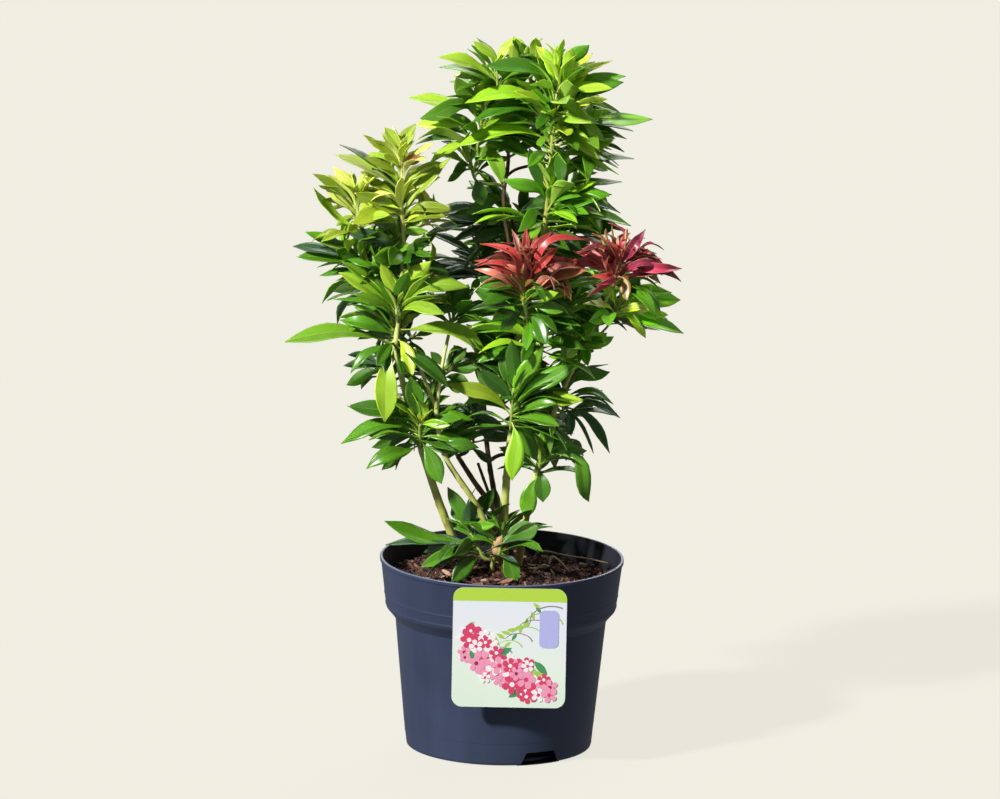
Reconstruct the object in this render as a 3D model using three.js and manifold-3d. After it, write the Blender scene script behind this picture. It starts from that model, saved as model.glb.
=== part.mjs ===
// A potted pieris shrub: a round nursery pot filled with bark compost, a bundle of upright
// stems that lean apart from the middle of the pot, their boughs, and the masses of foliage
// at the whorls where the leaves stand. Millimetres, +Z up. The origin is the centre of the
// pot's flat underside, and -Y is the side that carries the label.
import * as THREE from 'three';
import { mergeVertices } from 'three/addons/utils/BufferGeometryUtils.js';
import Module from 'manifold-3d';

const wasm = await Module();
wasm.setup();

// ---------------------------------------------------------------- driving dimensions
const GAP = 0.35;              // clearance kept between neighbouring solids

const POT_HEIGHT = 150;
const RIM_RADIUS = 95;         // outside of the lip
const COLLAR_FOOT_RADIUS = 89.4;
const COLLAR_FOOT_Z = 110.5;
const BODY_TOP_RADIUS = 82.2;  // just under the collar
const BODY_TOP_Z = 102;
const FOOT_RADIUS = 72.6;      // where the wall meets the rounded bottom corner
const FLAT_RADIUS = 69.2;      // flat part of the underside
const WALL = 1.7;
const FLOOR = 2.4;
const POT_SIDES = 36;

const NOTCH_COUNT = 3;         // drain notches cut through the bottom corner
const NOTCH_BEARING = -63;     // degrees, of the first notch
const NOTCH_WIDTH_TOP = 24;
const NOTCH_WIDTH_FOOT = 33;
const NOTCH_HEIGHT = 10.5;
const NOTCH_DEPTH = 14;

const SOIL_EDGE_Z = 131;       // compost level at the wall
const SOIL_MOUND = 7.5;        // and how much higher it lies round the stems
const SOIL_MOUND_RADIUS = 44;
const SOIL_RIPPLE = 0.9;

const LABEL_WIDTH = 88;
const LABEL_HEIGHT = 95;
const LABEL_CORNER = 8;
const LABEL_THICKNESS = 0.8;
const LABEL_X = 7;
const LABEL_TOP_Z = 148.6;
const LABEL_BACK_Y = -(RIM_RADIUS + GAP);
const PAD_WIDTH = 30;          // foam pad that carries the card on the collar
const PAD_HEIGHT = 16;
const PAD_Z = 126;

const STEM_SIDES = 6;
const BOUGH_SIDES = 5;
const STEP = 29;              // length of one stretch of a limb

const FULLNESS = 1.18;         // how far the dense middle of a mass fills the space round it
const SHOULDER = 0.32;         // how much of a spray's reach its neighbours share

// ---------------------------------------------------------------- small tools
// The same small generator everywhere, so that the shapes never change.
function seeded(seed) {
  let s = (seed * 2654435761) >>> 0;
  return () => {
    s = (Math.imul(s, 1664525) + 1013904223) >>> 0;
    return s / 4294967296;
  };
}

function toSolid(geometry) {
  const bare = geometry.index ? geometry.clone() : geometry.clone();
  bare.deleteAttribute('normal');
  bare.deleteAttribute('uv');
  const g = mergeVertices(bare, 1e-4);
  return new wasm.Manifold(
    new wasm.Mesh({
      numProp: 3,
      vertProperties: new Float32Array(g.attributes.position.array),
      triVerts: new Uint32Array(g.index.array),
    }),
  );
}

function toGeometry(solid) {
  const m = solid.getMesh();
  const points = new Float32Array((m.vertProperties.length / m.numProp) * 3);
  for (let i = 0; i < points.length / 3; i++)
    for (let k = 0; k < 3; k++) points[3 * i + k] = m.vertProperties[i * m.numProp + k];
  const g = new THREE.BufferGeometry();
  g.setAttribute('position', new THREE.BufferAttribute(points, 3));
  g.setIndex(new THREE.BufferAttribute(new Uint32Array(m.triVerts), 1));
  g.computeVertexNormals();
  return g;
}

// The largest single body of a solid that a cut may have parted.
function mainBody(solid) {
  let best = null;
  for (const body of solid.decompose())
    if (!best || body.volume() > best.volume()) best = body;
  return best;
}

const soilTop = (x, y) => {
  const r = Math.hypot(x, y);
  return (
    SOIL_EDGE_Z +
    SOIL_MOUND * Math.exp(-((r / SOIL_MOUND_RADIUS) ** 2)) +
    SOIL_RIPPLE * Math.sin(x / 11) * Math.cos(y / 9)
  );
};

// ---------------------------------------------------------------- pot
// Outline of the outside, from the middle of the underside up to the lip, grown by `out`.
const potOutside = (out = 0) => [
  [0, -out],
  [FLAT_RADIUS + out, -out],
  [FOOT_RADIUS - 0.8 + out, 0.9],
  [FOOT_RADIUS + out, 3.2],
  [BODY_TOP_RADIUS + out, BODY_TOP_Z - out],
  [BODY_TOP_RADIUS + 3.2 + out, BODY_TOP_Z + 3.4 - out],
  [COLLAR_FOOT_RADIUS + out, COLLAR_FOOT_Z],
  [RIM_RADIUS - 1 + out, POT_HEIGHT - 3.4],
  [RIM_RADIUS + out, POT_HEIGHT - 2.4],
  [RIM_RADIUS + out, POT_HEIGHT + out],
];
// Outline of the inside, from the lip down to the floor, shrunk by `shrink`.
const potInside = (shrink = 0) => [
  [RIM_RADIUS - WALL - 0.7 - shrink, POT_HEIGHT],
  [COLLAR_FOOT_RADIUS - WALL - shrink, COLLAR_FOOT_Z + 1],
  [BODY_TOP_RADIUS - WALL + 0.4 - shrink, BODY_TOP_Z + 3],
  [FOOT_RADIUS - WALL - shrink, FLOOR + 2.6],
  [FLAT_RADIUS - WALL - shrink, FLOOR + shrink],
  [0, FLOOR + shrink],
];
const lathe = (profile, sides) => {
  const g = new THREE.LatheGeometry(profile.map(([r, z]) => new THREE.Vector2(r, z)), sides);
  g.rotateX(Math.PI / 2);
  return g;
};

// A drain notch: a trapezium, wider at the foot, pushed in through the bottom corner.
function notchSolid(index, grow = 0) {
  const shape = new THREE.Shape([
    new THREE.Vector2(-NOTCH_WIDTH_FOOT / 2 - grow, -4),
    new THREE.Vector2(NOTCH_WIDTH_FOOT / 2 + grow, -4),
    new THREE.Vector2(NOTCH_WIDTH_FOOT / 2 + grow, 0),
    new THREE.Vector2(NOTCH_WIDTH_TOP / 2 + grow, NOTCH_HEIGHT + grow),
    new THREE.Vector2(-NOTCH_WIDTH_TOP / 2 - grow, NOTCH_HEIGHT + grow),
    new THREE.Vector2(-NOTCH_WIDTH_FOOT / 2 - grow, 0),
  ]);
  const g = new THREE.ExtrudeGeometry(shape, { depth: NOTCH_DEPTH + 12 + grow, bevelEnabled: false });
  g.rotateX(Math.PI / 2); // now up is +Z, and the depth runs along -Y
  g.translate(0, FOOT_RADIUS + 12, 0);
  g.rotateZ(THREE.MathUtils.degToRad(NOTCH_BEARING + (360 / NOTCH_COUNT) * index - 90));
  return toSolid(g);
}

let pot = toSolid(lathe([...potOutside(), ...potInside()], POT_SIDES));
for (let i = 0; i < NOTCH_COUNT; i++) pot = pot.subtract(notchSolid(i));
pot = mainBody(pot);
const potKeepOut = toSolid(lathe([...potOutside(GAP), ...potInside(GAP)], POT_SIDES));

// ---------------------------------------------------------------- compost
const soilProfile = [
  [0, FLOOR + GAP],
  [FLAT_RADIUS - WALL - 0.6, FLOOR + GAP],
  [FOOT_RADIUS - WALL - 0.6, FLOOR + 3],
  [BODY_TOP_RADIUS - WALL - 0.3, BODY_TOP_Z + 2.6],
  [COLLAR_FOOT_RADIUS - WALL - 1, COLLAR_FOOT_Z + 1.6],
  [COLLAR_FOOT_RADIUS - WALL + 1.2, SOIL_EDGE_Z],
  ...[68, 50, 34, 18].map((r) => [r, SOIL_EDGE_Z]),
  [0, SOIL_EDGE_Z],
];
const soilGeometry = lathe(soilProfile, 22);
{
  const p = soilGeometry.attributes.position;
  for (let i = 0; i < p.count; i++)
    if (p.getZ(i) > SOIL_EDGE_Z - 0.5) {
      const r = Math.hypot(p.getX(i), p.getY(i));
      if (r < 80) p.setZ(i, soilTop(p.getX(i), p.getY(i)));
    }
}
let soil = toSolid(soilGeometry);
for (let i = 0; i < NOTCH_COUNT; i++) soil = soil.subtract(notchSolid(i, GAP));
soil = mainBody(soil);

// ---------------------------------------------------------------- label card
const cardShape = new THREE.Shape();
{
  const w = LABEL_WIDTH / 2, h = LABEL_HEIGHT / 2, c = LABEL_CORNER;
  cardShape.moveTo(-w + c, -h);
  cardShape.lineTo(w - c, -h);
  cardShape.absarc(w - c, -h + c, c, -Math.PI / 2, 0, false);
  cardShape.lineTo(w, h - c);
  cardShape.absarc(w - c, h - c, c, 0, Math.PI / 2, false);
  cardShape.lineTo(-w + c, h);
  cardShape.absarc(-w + c, h - c, c, Math.PI / 2, Math.PI, false);
  cardShape.lineTo(-w, -h + c);
  cardShape.absarc(-w + c, -h + c, c, Math.PI, Math.PI * 1.5, false);
}
const cardGeometry = new THREE.ExtrudeGeometry(cardShape, {
  depth: LABEL_THICKNESS, bevelEnabled: false, curveSegments: 3,
});
cardGeometry.rotateX(Math.PI / 2);
cardGeometry.translate(LABEL_X, LABEL_BACK_Y, LABEL_TOP_Z - LABEL_HEIGHT / 2);
const padGeometry = new THREE.BoxGeometry(PAD_WIDTH, 9, PAD_HEIGHT);
padGeometry.translate(LABEL_X, LABEL_BACK_Y + 4.3, PAD_Z);
const label = mainBody(
  toSolid(cardGeometry)
    .add(toSolid(padGeometry))
    .subtract(toSolid(lathe([...potOutside(GAP), [0, POT_HEIGHT + GAP]], POT_SIDES))),
);

// ---------------------------------------------------------------- limbs
// Each limb is one tapering tube on a smooth curve through a few places on its way up.
// `foot` and `tip` are its radii at the two ends.
const LIMBS = [
  { name: 'stem_main', foot: 3.4, tip: 1.7, way: [[2, 9, 126], [2, 9, 201], [13, 9, 314], [29, 4, 422], [34, -3, 512]] },
  { name: 'stem_left', foot: 3.5, tip: 2.1, way: [[-27, 13, 126], [-57, -1, 202], [-78, -11, 281], [-87, -12, 323]] },
  { name: 'stem_front', foot: 2.7, tip: 1.8, way: [[8, 1, 126], [-18, -11, 189], [-47, -17, 237], [-54, -18, 277]] },
  { name: 'stem_right', foot: 3.0, tip: 1.5, way: [[11, 17, 126], [21, 11, 193], [38, 13, 262], [55, 9, 303], [75, -7, 333]] },
  { name: 'stem_dark', foot: 2.7, tip: 1.8, way: [[13, 23, 126], [-2, 30, 172], [-24, 35, 203], [-36, 37, 221]] },
  { name: 'stem_thin', foot: 1.6, tip: 1.1, way: [[1, 34, 126], [-7, 39, 177], [-20, 43, 214]] },
  { name: 'stem_back', foot: 2.5, tip: 1.5, way: [[5, 45, 126], [-4, 61, 170], [-14, 81, 225], [-18, 93, 287]] },
  { name: 'bough_left_crown', from: 'stem_left', foot: 2.0, tip: 1.5, way: [[-86, -12, 317], [-82, -6, 365], [-81, -6, 402], [-83, -7, 432]] },
  { name: 'bough_left_side', from: 'stem_left', foot: 1.8, tip: 1.3, way: [[-86, -11, 313], [-98, 4, 348], [-112, 4, 392]] },
  { name: 'bough_mid_left', from: 'stem_front', foot: 1.6, tip: 1.2, way: [[-53, -18, 272], [-62, -18, 293], [-71, -15, 319]] },
  { name: 'bough_mid_right', from: 'stem_front', foot: 1.6, tip: 1.2, way: [[-53, -18, 270], [-49, -6, 304], [-43, 4, 334]] },
  { name: 'bough_shade', from: 'stem_main', foot: 1.8, tip: 1.3, way: [[12, 9, 303], [-2, 30, 335], [-20, 45, 364]] },
  { name: 'bough_upper_left', from: 'stem_main', foot: 2.0, tip: 1.2, way: [[19, 7, 346], [4, 25, 385], [-4, 23, 429], [-1, 19, 466], [-9, 16, 508]] },
  { name: 'bough_red_left', from: 'stem_main', foot: 1.7, tip: 1.3, way: [[13, 9, 312], [18, -23, 333], [13, -47, 366]] },
  { name: 'bough_red_right', from: 'stem_right', foot: 1.7, tip: 1.3, way: [[54, 9, 300], [68, -13, 339], [82, -30, 375]] },
];

// Radius of a limb at share t of its length: a quick flare at the foot, then an even taper.
const radiusAt = (limb, t) =>
  limb.foot + (limb.tip - limb.foot) * t + (limb.from ? 0.35 : 0.9) * Math.exp(-t * 14);

function limbSolid(limb, grow = 0) {
  const curve = new THREE.CatmullRomCurve3(limb.way.map((p) => new THREE.Vector3(...p)), false, 'centripetal');
  const steps = Math.max(4, Math.round(curve.getLength() / STEP));
  const sides = limb.from ? BOUGH_SIDES : STEM_SIDES;
  const frames = curve.computeFrenetFrames(steps, false);
  const g = new THREE.CylinderGeometry(1, 1, 1, sides, steps);
  const p = g.attributes.position;
  for (let i = 0; i < p.count; i++) {
    const k = Math.round((p.getY(i) + 0.5) * steps);
    const t = k / steps;
    const r = radiusAt(limb, t) + grow;
    const at = curve.getPointAt(t);
    const end = k === 0 ? -grow : k === steps ? grow : 0;
    at.addScaledVector(frames.tangents[k], end);
    at.addScaledVector(frames.normals[k], p.getX(i) * r);
    at.addScaledVector(frames.binormals[k], -p.getZ(i) * r);
    p.setXYZ(i, at.x, at.y, at.z);
  }
  const s = toSolid(g);
  if (s.volume() < 0) throw new Error(limb.name + ' is inside out');
  return s;
}

const limbByName = new Map(LIMBS.map((l) => [l.name, l]));
const limbSolids = new Map();
for (const limb of LIMBS) {
  let s = limbSolid(limb);
  if (limb.from) s = s.subtract(limbSolid(limbByName.get(limb.from), GAP));
  else {
    // flat cut at ground level
    const [x, y] = limb.way[0];
    const ground = new THREE.BoxGeometry(90, 90, 40);
    ground.translate(x, y, soilTop(x, y) + 1.0 - 20);
    s = s.subtract(toSolid(ground));
  }
  for (const [name, other] of limbSolids)
    if (name !== limb.from && s.intersect(other).volume() > 0) s = s.subtract(limbSolid(limbByName.get(name), GAP));
  limbSolids.set(limb.name, mainBody(s));
}

// ---------------------------------------------------------------- masses of foliage
// Each mass is a closed, uneven body round one whorl or a close pair of whorls. `core` is the
// radius of its dense middle. `leaders` are its longest sprays: bearing and rise in degrees,
// and reach. A mass on the far side has `sprays` of its own, dealt by the golden angle over
// its outer half, of length `reach`.
const MASSES = [
  { name: 'crown_leader', fine: true, at: [34, -3, 507], core: 34, leaders: [[180, -21, 82], [1, -4, 75], [2, -31, 73], [181, 4, 71], [-174, 33, 65], [136, 50, 65], [-22, 63, 61], [3, 28, 61], [-76, -63, 55], [175, 75, 58], [8, 82, 57]] },
  { name: 'crown_left', small: true, at: [-21, 15, 524], core: 17, leaders: [[-178, 29, 41], [175, 74, 34], [-93, 16, 32], [123, -38, 26], [167, 9, 25]] },
  { name: 'crown_wing', at: [-39, 11, 488], core: 19, leaders: [[178, 32, 47], [172, -22, 37], [172, 3, 35], [-163, -48, 35], [-87, 13, 34], [131, 16, 23]] },
  { name: 'crown_wing_low', small: true, at: [-19, 13, 461], core: 16, leaders: [[-18, 39, 34], [162, -31, 36], [-48, -80, 32], [-145, -8, 30], [-23, 65, 28], [-46, -37, 23]] },
  { name: 'crown_skirt', at: [38, -5, 431], core: 26, leaders: [[5, -14, 59], [172, 51, 55], [5, 22, 54], [179, 27, 48], [-144, -23, 41], [-69, 81, 38], [-64, -7, 37]] },
  { name: 'shade_left', at: [-15, 37, 407], core: 19, leaders: [[177, 1, 53], [156, -27, 35], [-93, 12, 26], [-154, 25, 26], [-136, -29, 26]] },
  { name: 'shade_centre', small: true, at: [-27, 47, 372], core: 18, leaders: [[180, 35, 44], [172, -18, 37], [-18, 8, 28], [-51, 62, 28], [-91, -56, 25]] },
  { name: 'red_left', at: [14, -53, 390], core: 21, leaders: [[3, 30, 54], [3, 1, 48], [177, 38, 39], [175, 2, 38], [10, 59, 37], [89, 83, 34], [-144, 49, 30], [-166, -17, 29], [-103, 49, 28]] },
  { name: 'red_right', at: [86, -35, 391], core: 19, leaders: [[4, -8, 50], [179, 6, 43], [0, 60, 40], [-178, 45, 34], [-152, -37, 33], [-114, 19, 32], [100, 77, 28]] },
  { name: 'right_arm', at: [97, -15, 350], core: 21, leaders: [[4, -21, 44], [0, 16, 41], [-153, -2, 38], [-61, 18, 31]] },
  { name: 'right_inner', small: true, at: [55, -6, 323], core: 14, leaders: [[173, 64, 31], [-112, 59, 25], [-5, 16, 26], [-129, -31, 19]] },
  { name: 'heart_upper', at: [25, -14, 346], core: 27, leaders: [[174, -13, 62], [179, 23, 51], [13, 27, 47], [163, 46, 46], [-83, 4, 44], [29, 62, 43], [-126, -57, 39], [-124, 23, 37], [-39, -5, 36]] },
  { name: 'heart_lower', at: [7, -25, 280], core: 27, leaders: [[-94, -83, 61], [-2, 33, 57], [-4, 3, 54], [-177, 15, 53], [13, -68, 52], [-8, 64, 50], [-175, 87, 49], [-170, 44, 38]] },
  { name: 'drooping_right', at: [54, 19, 263], core: 20, leaders: [[0, -50, 44], [2, 48, 41], [168, -69, 40], [0, -9, 38], [-157, -42, 33]] },
  { name: 'low_right', at: [31, 3, 221], core: 18, leaders: [[0, -37, 45], [-160, -70, 43], [-1, 23, 36], [46, 73, 33], [140, 67, 30], [-90, -65, 28]] },
  { name: 'young_left', at: [-87, -9, 453], core: 21, leaders: [[177, 29, 51], [2, 21, 46], [3, -29, 44], [169, 76, 40], [25, 66, 37], [-68, 60, 37], [-169, -20, 34], [-34, 42, 29]] },
  { name: 'young_side', small: true, at: [-121, -8, 431], core: 16, leaders: [[176, 37, 40], [177, 62, 34], [-97, -36, 28], [-50, 10, 25], [78, 79, 25], [175, 4, 28]] },
  { name: 'dark_left', small: true, at: [-128, 3, 382], core: 16, leaders: [[178, 17, 42], [-65, 54, 28], [163, -32, 25], [176, 49, 30]] },
  { name: 'dark_centre', at: [-89, -7, 392], core: 19, leaders: [[178, 23, 41], [159, -43, 35], [161, 50, 35], [-158, 69, 33], [-2, 35, 34], [-94, -3, 31]] },
  { name: 'bright_left', at: [-87, -18, 343], core: 32, leaders: [[177, -14, 88], [163, -86, 84], [1, -20, 76], [-1, 24, 63], [176, 46, 60], [-15, 59, 56], [177, 17, 50], [-37, -65, 47], [-157, 75, 46]] },
  { name: 'low_left', at: [-71, -19, 253], core: 24, leaders: [[178, -11, 58], [180, 22, 57], [-124, 83, 46], [-27, -56, 45], [-12, -6, 44], [-164, -49, 40], [160, 49, 36]] },
  { name: 'slate_centre', small: true, at: [-24, 43, 241], core: 16, leaders: [[68, 83, 34], [-21, -59, 31], [177, 49, 26], [2, 8, 24]] },
  { name: 'blue_left', small: true, at: [-103, 31, 291], core: 14, leaders: [[177, -33, 27], [169, 26, 26], [-42, 75, 20]] },
  { name: 'foot_left', at: [-32, -12, 169], core: 21, leaders: [[177, 9, 64], [131, 76, 40], [-168, -33, 37], [-109, -51, 32], [-34, 28, 35], [-45, 75, 34]] },
  { name: 'foot_front', small: true, at: [6, -19, 167], core: 16, leaders: [[11, 18, 35], [-58, -62, 33], [-17, 32, 27], [-165, 45, 26]] },
  { name: 'back_crown', small: true, at: [37, 57, 475], core: 26, sprays: 8, reach: 48 },
  { name: 'back_skirt', small: true, at: [42, 64, 400], core: 27, sprays: 8, reach: 50 },
  { name: 'back_arm', small: true, at: [73, 52, 334], core: 25, sprays: 8, reach: 46 },
  { name: 'back_heart', small: true, at: [17, 96, 328], core: 27, sprays: 8, reach: 48 },
  { name: 'back_middle', small: true, at: [-2, 89, 280], core: 25, sprays: 7, reach: 44 },
  { name: 'back_low_right', small: true, at: [41, 73, 237], core: 22, sprays: 7, reach: 40 },
  { name: 'back_young', small: true, at: [-89, 51, 412], core: 21, sprays: 7, reach: 38 },
  { name: 'back_left', small: true, at: [-94, 69, 355], core: 25, sprays: 8, reach: 44 },
  { name: 'back_bright', small: true, at: [-83, 71, 302], core: 25, sprays: 8, reach: 44 },
  { name: 'back_low_left', small: true, at: [-57, 75, 241], core: 22, sprays: 7, reach: 42 },
  { name: 'back_shade', small: true, at: [-8, 96, 380], core: 24, sprays: 7, reach: 42 },
  { name: 'back_foot', small: true, at: [-4, 57, 158], core: 17, sprays: 5, reach: 32 },
];
const GOLDEN = THREE.MathUtils.degToRad(137.508);

const bearing = (az, el) => {
  const a = THREE.MathUtils.degToRad(az), e = THREE.MathUtils.degToRad(el);
  return new THREE.Vector3(Math.cos(e) * Math.cos(a), Math.cos(e) * Math.sin(a), Math.sin(e));
};

function leadersOf(mass, rnd) {
  if (mass.leaders) {
    const list = mass.leaders.map(([az, el, reach]) => ({ dir: bearing(az, el), reach }));
    const mean = list.reduce((sum, l) => sum + l.reach, 0) / list.length;
    for (const side of [-90, 90])
      for (const turn of [-34, 30]) {
        const dir = bearing(side + turn + 16 * (rnd() - 0.5), 10 + 28 * (rnd() - 0.3));
        if (list.every((l) => l.dir.angleTo(dir) > 0.5)) list.push({ dir, reach: mean * (0.7 + 0.2 * rnd()) });
      }
    return list;
  }
  const list = [];
  for (let i = 0; i < mass.sprays; i++) {
    const up = 0.95 - (1.5 * (i + 0.5)) / mass.sprays;
    const a = i * GOLDEN + rnd() * 0.5;
    const flat = Math.sqrt(1 - up * up);
    const dir = new THREE.Vector3(flat * Math.cos(a), Math.abs(flat * Math.sin(a)) * 1.1 + 0.1, up).normalize();
    list.push({ dir, reach: mass.reach * (0.82 + 0.18 * rnd()) });
  }
  return list;
}

function massSolid(mass, index) {
  const rnd = seeded(index + 11);
  const g = mergeVertices(
    (() => {
      const b = new THREE.IcosahedronGeometry(1, mass.fine ? 3 : mass.small ? 1 : 2);
      b.deleteAttribute('normal');
      b.deleteAttribute('uv');
      return b;
    })(),
    1e-4,
  );
  const p = g.attributes.position;
  const phase = [rnd() * 6, rnd() * 6, rnd() * 6];
  const dirs = [], radii = [];
  const leaders = leadersOf(mass, rnd);
  for (let i = 0; i < p.count; i++) {
    const d = new THREE.Vector3().fromBufferAttribute(p, i).normalize();
    let r = 1 + 0.13 * Math.sin(3.1 * d.x + phase[0]) * Math.cos(2.7 * d.z + phase[1]) + 0.09 * Math.sin(6 * d.y + phase[2]) + 0.06 * (rnd() - 0.5);
    r *= mass.core * FULLNESS;
    for (const l of leaders) {
      const off = d.angleTo(l.dir);
      r += SHOULDER * Math.max(0, l.reach - mass.core * FULLNESS) * Math.exp(-((off / 0.42) ** 2));
    }
    dirs.push(d);
    radii.push(r);
  }
  // the vertex nearest to each leader is drawn out to its very tip
  const taken = new Set();
  for (const l of [...leaders].sort((a, b) => b.reach - a.reach)) {
    let best = -1, least = 9;
    dirs.forEach((d, i) => {
      const off = d.angleTo(l.dir);
      if (!taken.has(i) && off < least) { least = off; best = i; }
    });
    taken.add(best);
    dirs[best] = l.dir.clone();
    radii[best] = l.reach;
  }
  const at = new THREE.Vector3(...mass.at);
  // neighbours share the space between them along a plane
  for (const other of MASSES) {
    if (other === mass) continue;
    const n = new THREE.Vector3(...other.at).sub(at);
    const apart = n.length();
    n.normalize();
    const wall = (apart * mass.core) / (mass.core + other.core) - GAP / 2;
    dirs.forEach((d, i) => {
      const along = d.dot(n) * radii[i];
      if (along > wall) radii[i] *= wall / along;
    });
  }
  for (let i = 0; i < p.count; i++) {
    const q = dirs[i].clone().multiplyScalar(radii[i]).add(at);
    const floor = Math.hypot(q.x, q.y) < RIM_RADIUS + 2 ? soilTop(q.x, q.y) + 2 : POT_HEIGHT;
    if (q.z < floor) q.z = floor;
    p.setXYZ(i, q.x, q.y, q.z);
  }
  let s = toSolid(g);
  for (const limb of LIMBS) {
    const grown = limbSolid(limb, GAP);
    if (s.intersect(grown).volume() > 0) s = s.subtract(grown);
  }
  if (mass.at[2] < 200) s = s.subtract(potKeepOut);
  return mainBody(s);
}

// ---------------------------------------------------------------- the whole plant
const root = new THREE.Group();
function put(name, solid, colour, roughness) {
  const mesh = new THREE.Mesh(
    toGeometry(solid),
    new THREE.MeshStandardMaterial({ color: colour, roughness, metalness: 0 }),
  );
  mesh.name = name;
  root.add(mesh);
}

put('pot', pot, 0x2c3346, 0.5);
put('soil', soil, 0x4a2a20, 0.95);
put('label', label, 0xdfe6ea, 0.35);
for (const limb of LIMBS) {
  const dark = /dark|thin|back|shade|upper/.test(limb.name);
  put(limb.name, limbSolids.get(limb.name), dark ? 0x4a3d2c : 0x9aa350, 0.6);
}
MASSES.forEach((mass, i) => {
  const colour = /red/.test(mass.name) ? 0x98303c : /young/.test(mass.name) ? 0xb4cc3e
    : /bright|crown_l|crown_wing/.test(mass.name) ? 0x5c9a1e : 0x2c6018;
  put(mass.name, massSolid(mass, i), colour, 0.45);
});

export default root;
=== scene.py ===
import math

import bpy
import numpy as np
from mathutils import Matrix, Vector


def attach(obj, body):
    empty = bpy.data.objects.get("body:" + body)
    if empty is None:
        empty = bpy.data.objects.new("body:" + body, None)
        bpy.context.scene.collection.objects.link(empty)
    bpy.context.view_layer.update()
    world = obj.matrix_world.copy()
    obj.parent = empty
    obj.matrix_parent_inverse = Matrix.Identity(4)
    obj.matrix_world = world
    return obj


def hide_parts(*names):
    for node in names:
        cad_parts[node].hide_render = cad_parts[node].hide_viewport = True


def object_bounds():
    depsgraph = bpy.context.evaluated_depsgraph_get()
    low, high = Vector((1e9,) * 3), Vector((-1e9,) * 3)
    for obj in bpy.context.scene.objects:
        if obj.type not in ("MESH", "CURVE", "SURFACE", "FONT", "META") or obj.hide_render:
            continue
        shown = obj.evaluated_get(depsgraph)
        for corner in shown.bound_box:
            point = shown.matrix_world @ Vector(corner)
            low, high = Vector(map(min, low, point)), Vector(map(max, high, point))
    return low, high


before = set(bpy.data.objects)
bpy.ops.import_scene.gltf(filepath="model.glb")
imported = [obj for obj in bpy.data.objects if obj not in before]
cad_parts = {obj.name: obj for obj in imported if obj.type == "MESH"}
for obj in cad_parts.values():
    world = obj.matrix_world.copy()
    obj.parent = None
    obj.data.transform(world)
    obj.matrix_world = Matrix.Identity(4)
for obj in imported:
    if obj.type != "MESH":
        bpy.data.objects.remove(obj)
CAD_BOX = [[float(c) for c in p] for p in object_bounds()]
scene = bpy.context.scene
MM = 0.001
GOLDEN = math.radians(137.508)
SIGHT_RISE = math.radians(13.3)      # the side the plant is shown from is seen at this height
KEY, SKY_LIGHT = 5.2, 0.22


# ------------------------------------------------------------------------------ small maths
def rng_of(*key):
    """A seeded source of numbers of its own for each thing that grows."""
    s = 7
    for k in key:
        for ch in str(k):
            s = (s * 131 + ord(ch)) % 2147483647
    return np.random.default_rng(s)


def unit(v):
    v = np.asarray(v, float)
    return v / max(1e-9, np.linalg.norm(v))


def toward(az, el):
    a, e = math.radians(az), math.radians(el)
    return np.array([math.cos(e) * math.cos(a), math.cos(e) * math.sin(a), math.sin(e)])


def smooth(a, b, x):
    t = np.clip((np.asarray(x, float) - a) / (b - a), 0, 1)
    return t * t * (3 - 2 * t)


def noise3(p, seed=0):
    """Smooth value noise from 0 to 1 at points p."""
    p = np.asarray(p, float)
    i = np.floor(p).astype(np.int64)
    f = p - i
    f = f * f * (3 - 2 * f)
    total = np.zeros(len(p))
    for dx in (0, 1):
        for dy in (0, 1):
            for dz in (0, 1):
                h = (i[:, 0] + dx) * 374761393 + (i[:, 1] + dy) * 668265263 + (i[:, 2] + dz) * 974634777 + seed * 69069
                h = (h ^ (h >> 13)) & 0xFFFFFFFF
                h = (h * 1274126177) & 0xFFFFFFFF
                h = (h ^ (h >> 16)) & 0xFFFFFFFF
                w = (f[:, 0] if dx else 1 - f[:, 0]) * (f[:, 1] if dy else 1 - f[:, 1]) * (f[:, 2] if dz else 1 - f[:, 2])
                total += w * h / 4294967295.0
    return total


def srgb(r, g, b):
    """Linear colour of an everyday 0-255 colour."""
    return tuple(((c / 255.0 + 0.055) / 1.055) ** 2.4 if c > 10 else c / 255.0 / 12.92 for c in (r, g, b))


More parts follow.
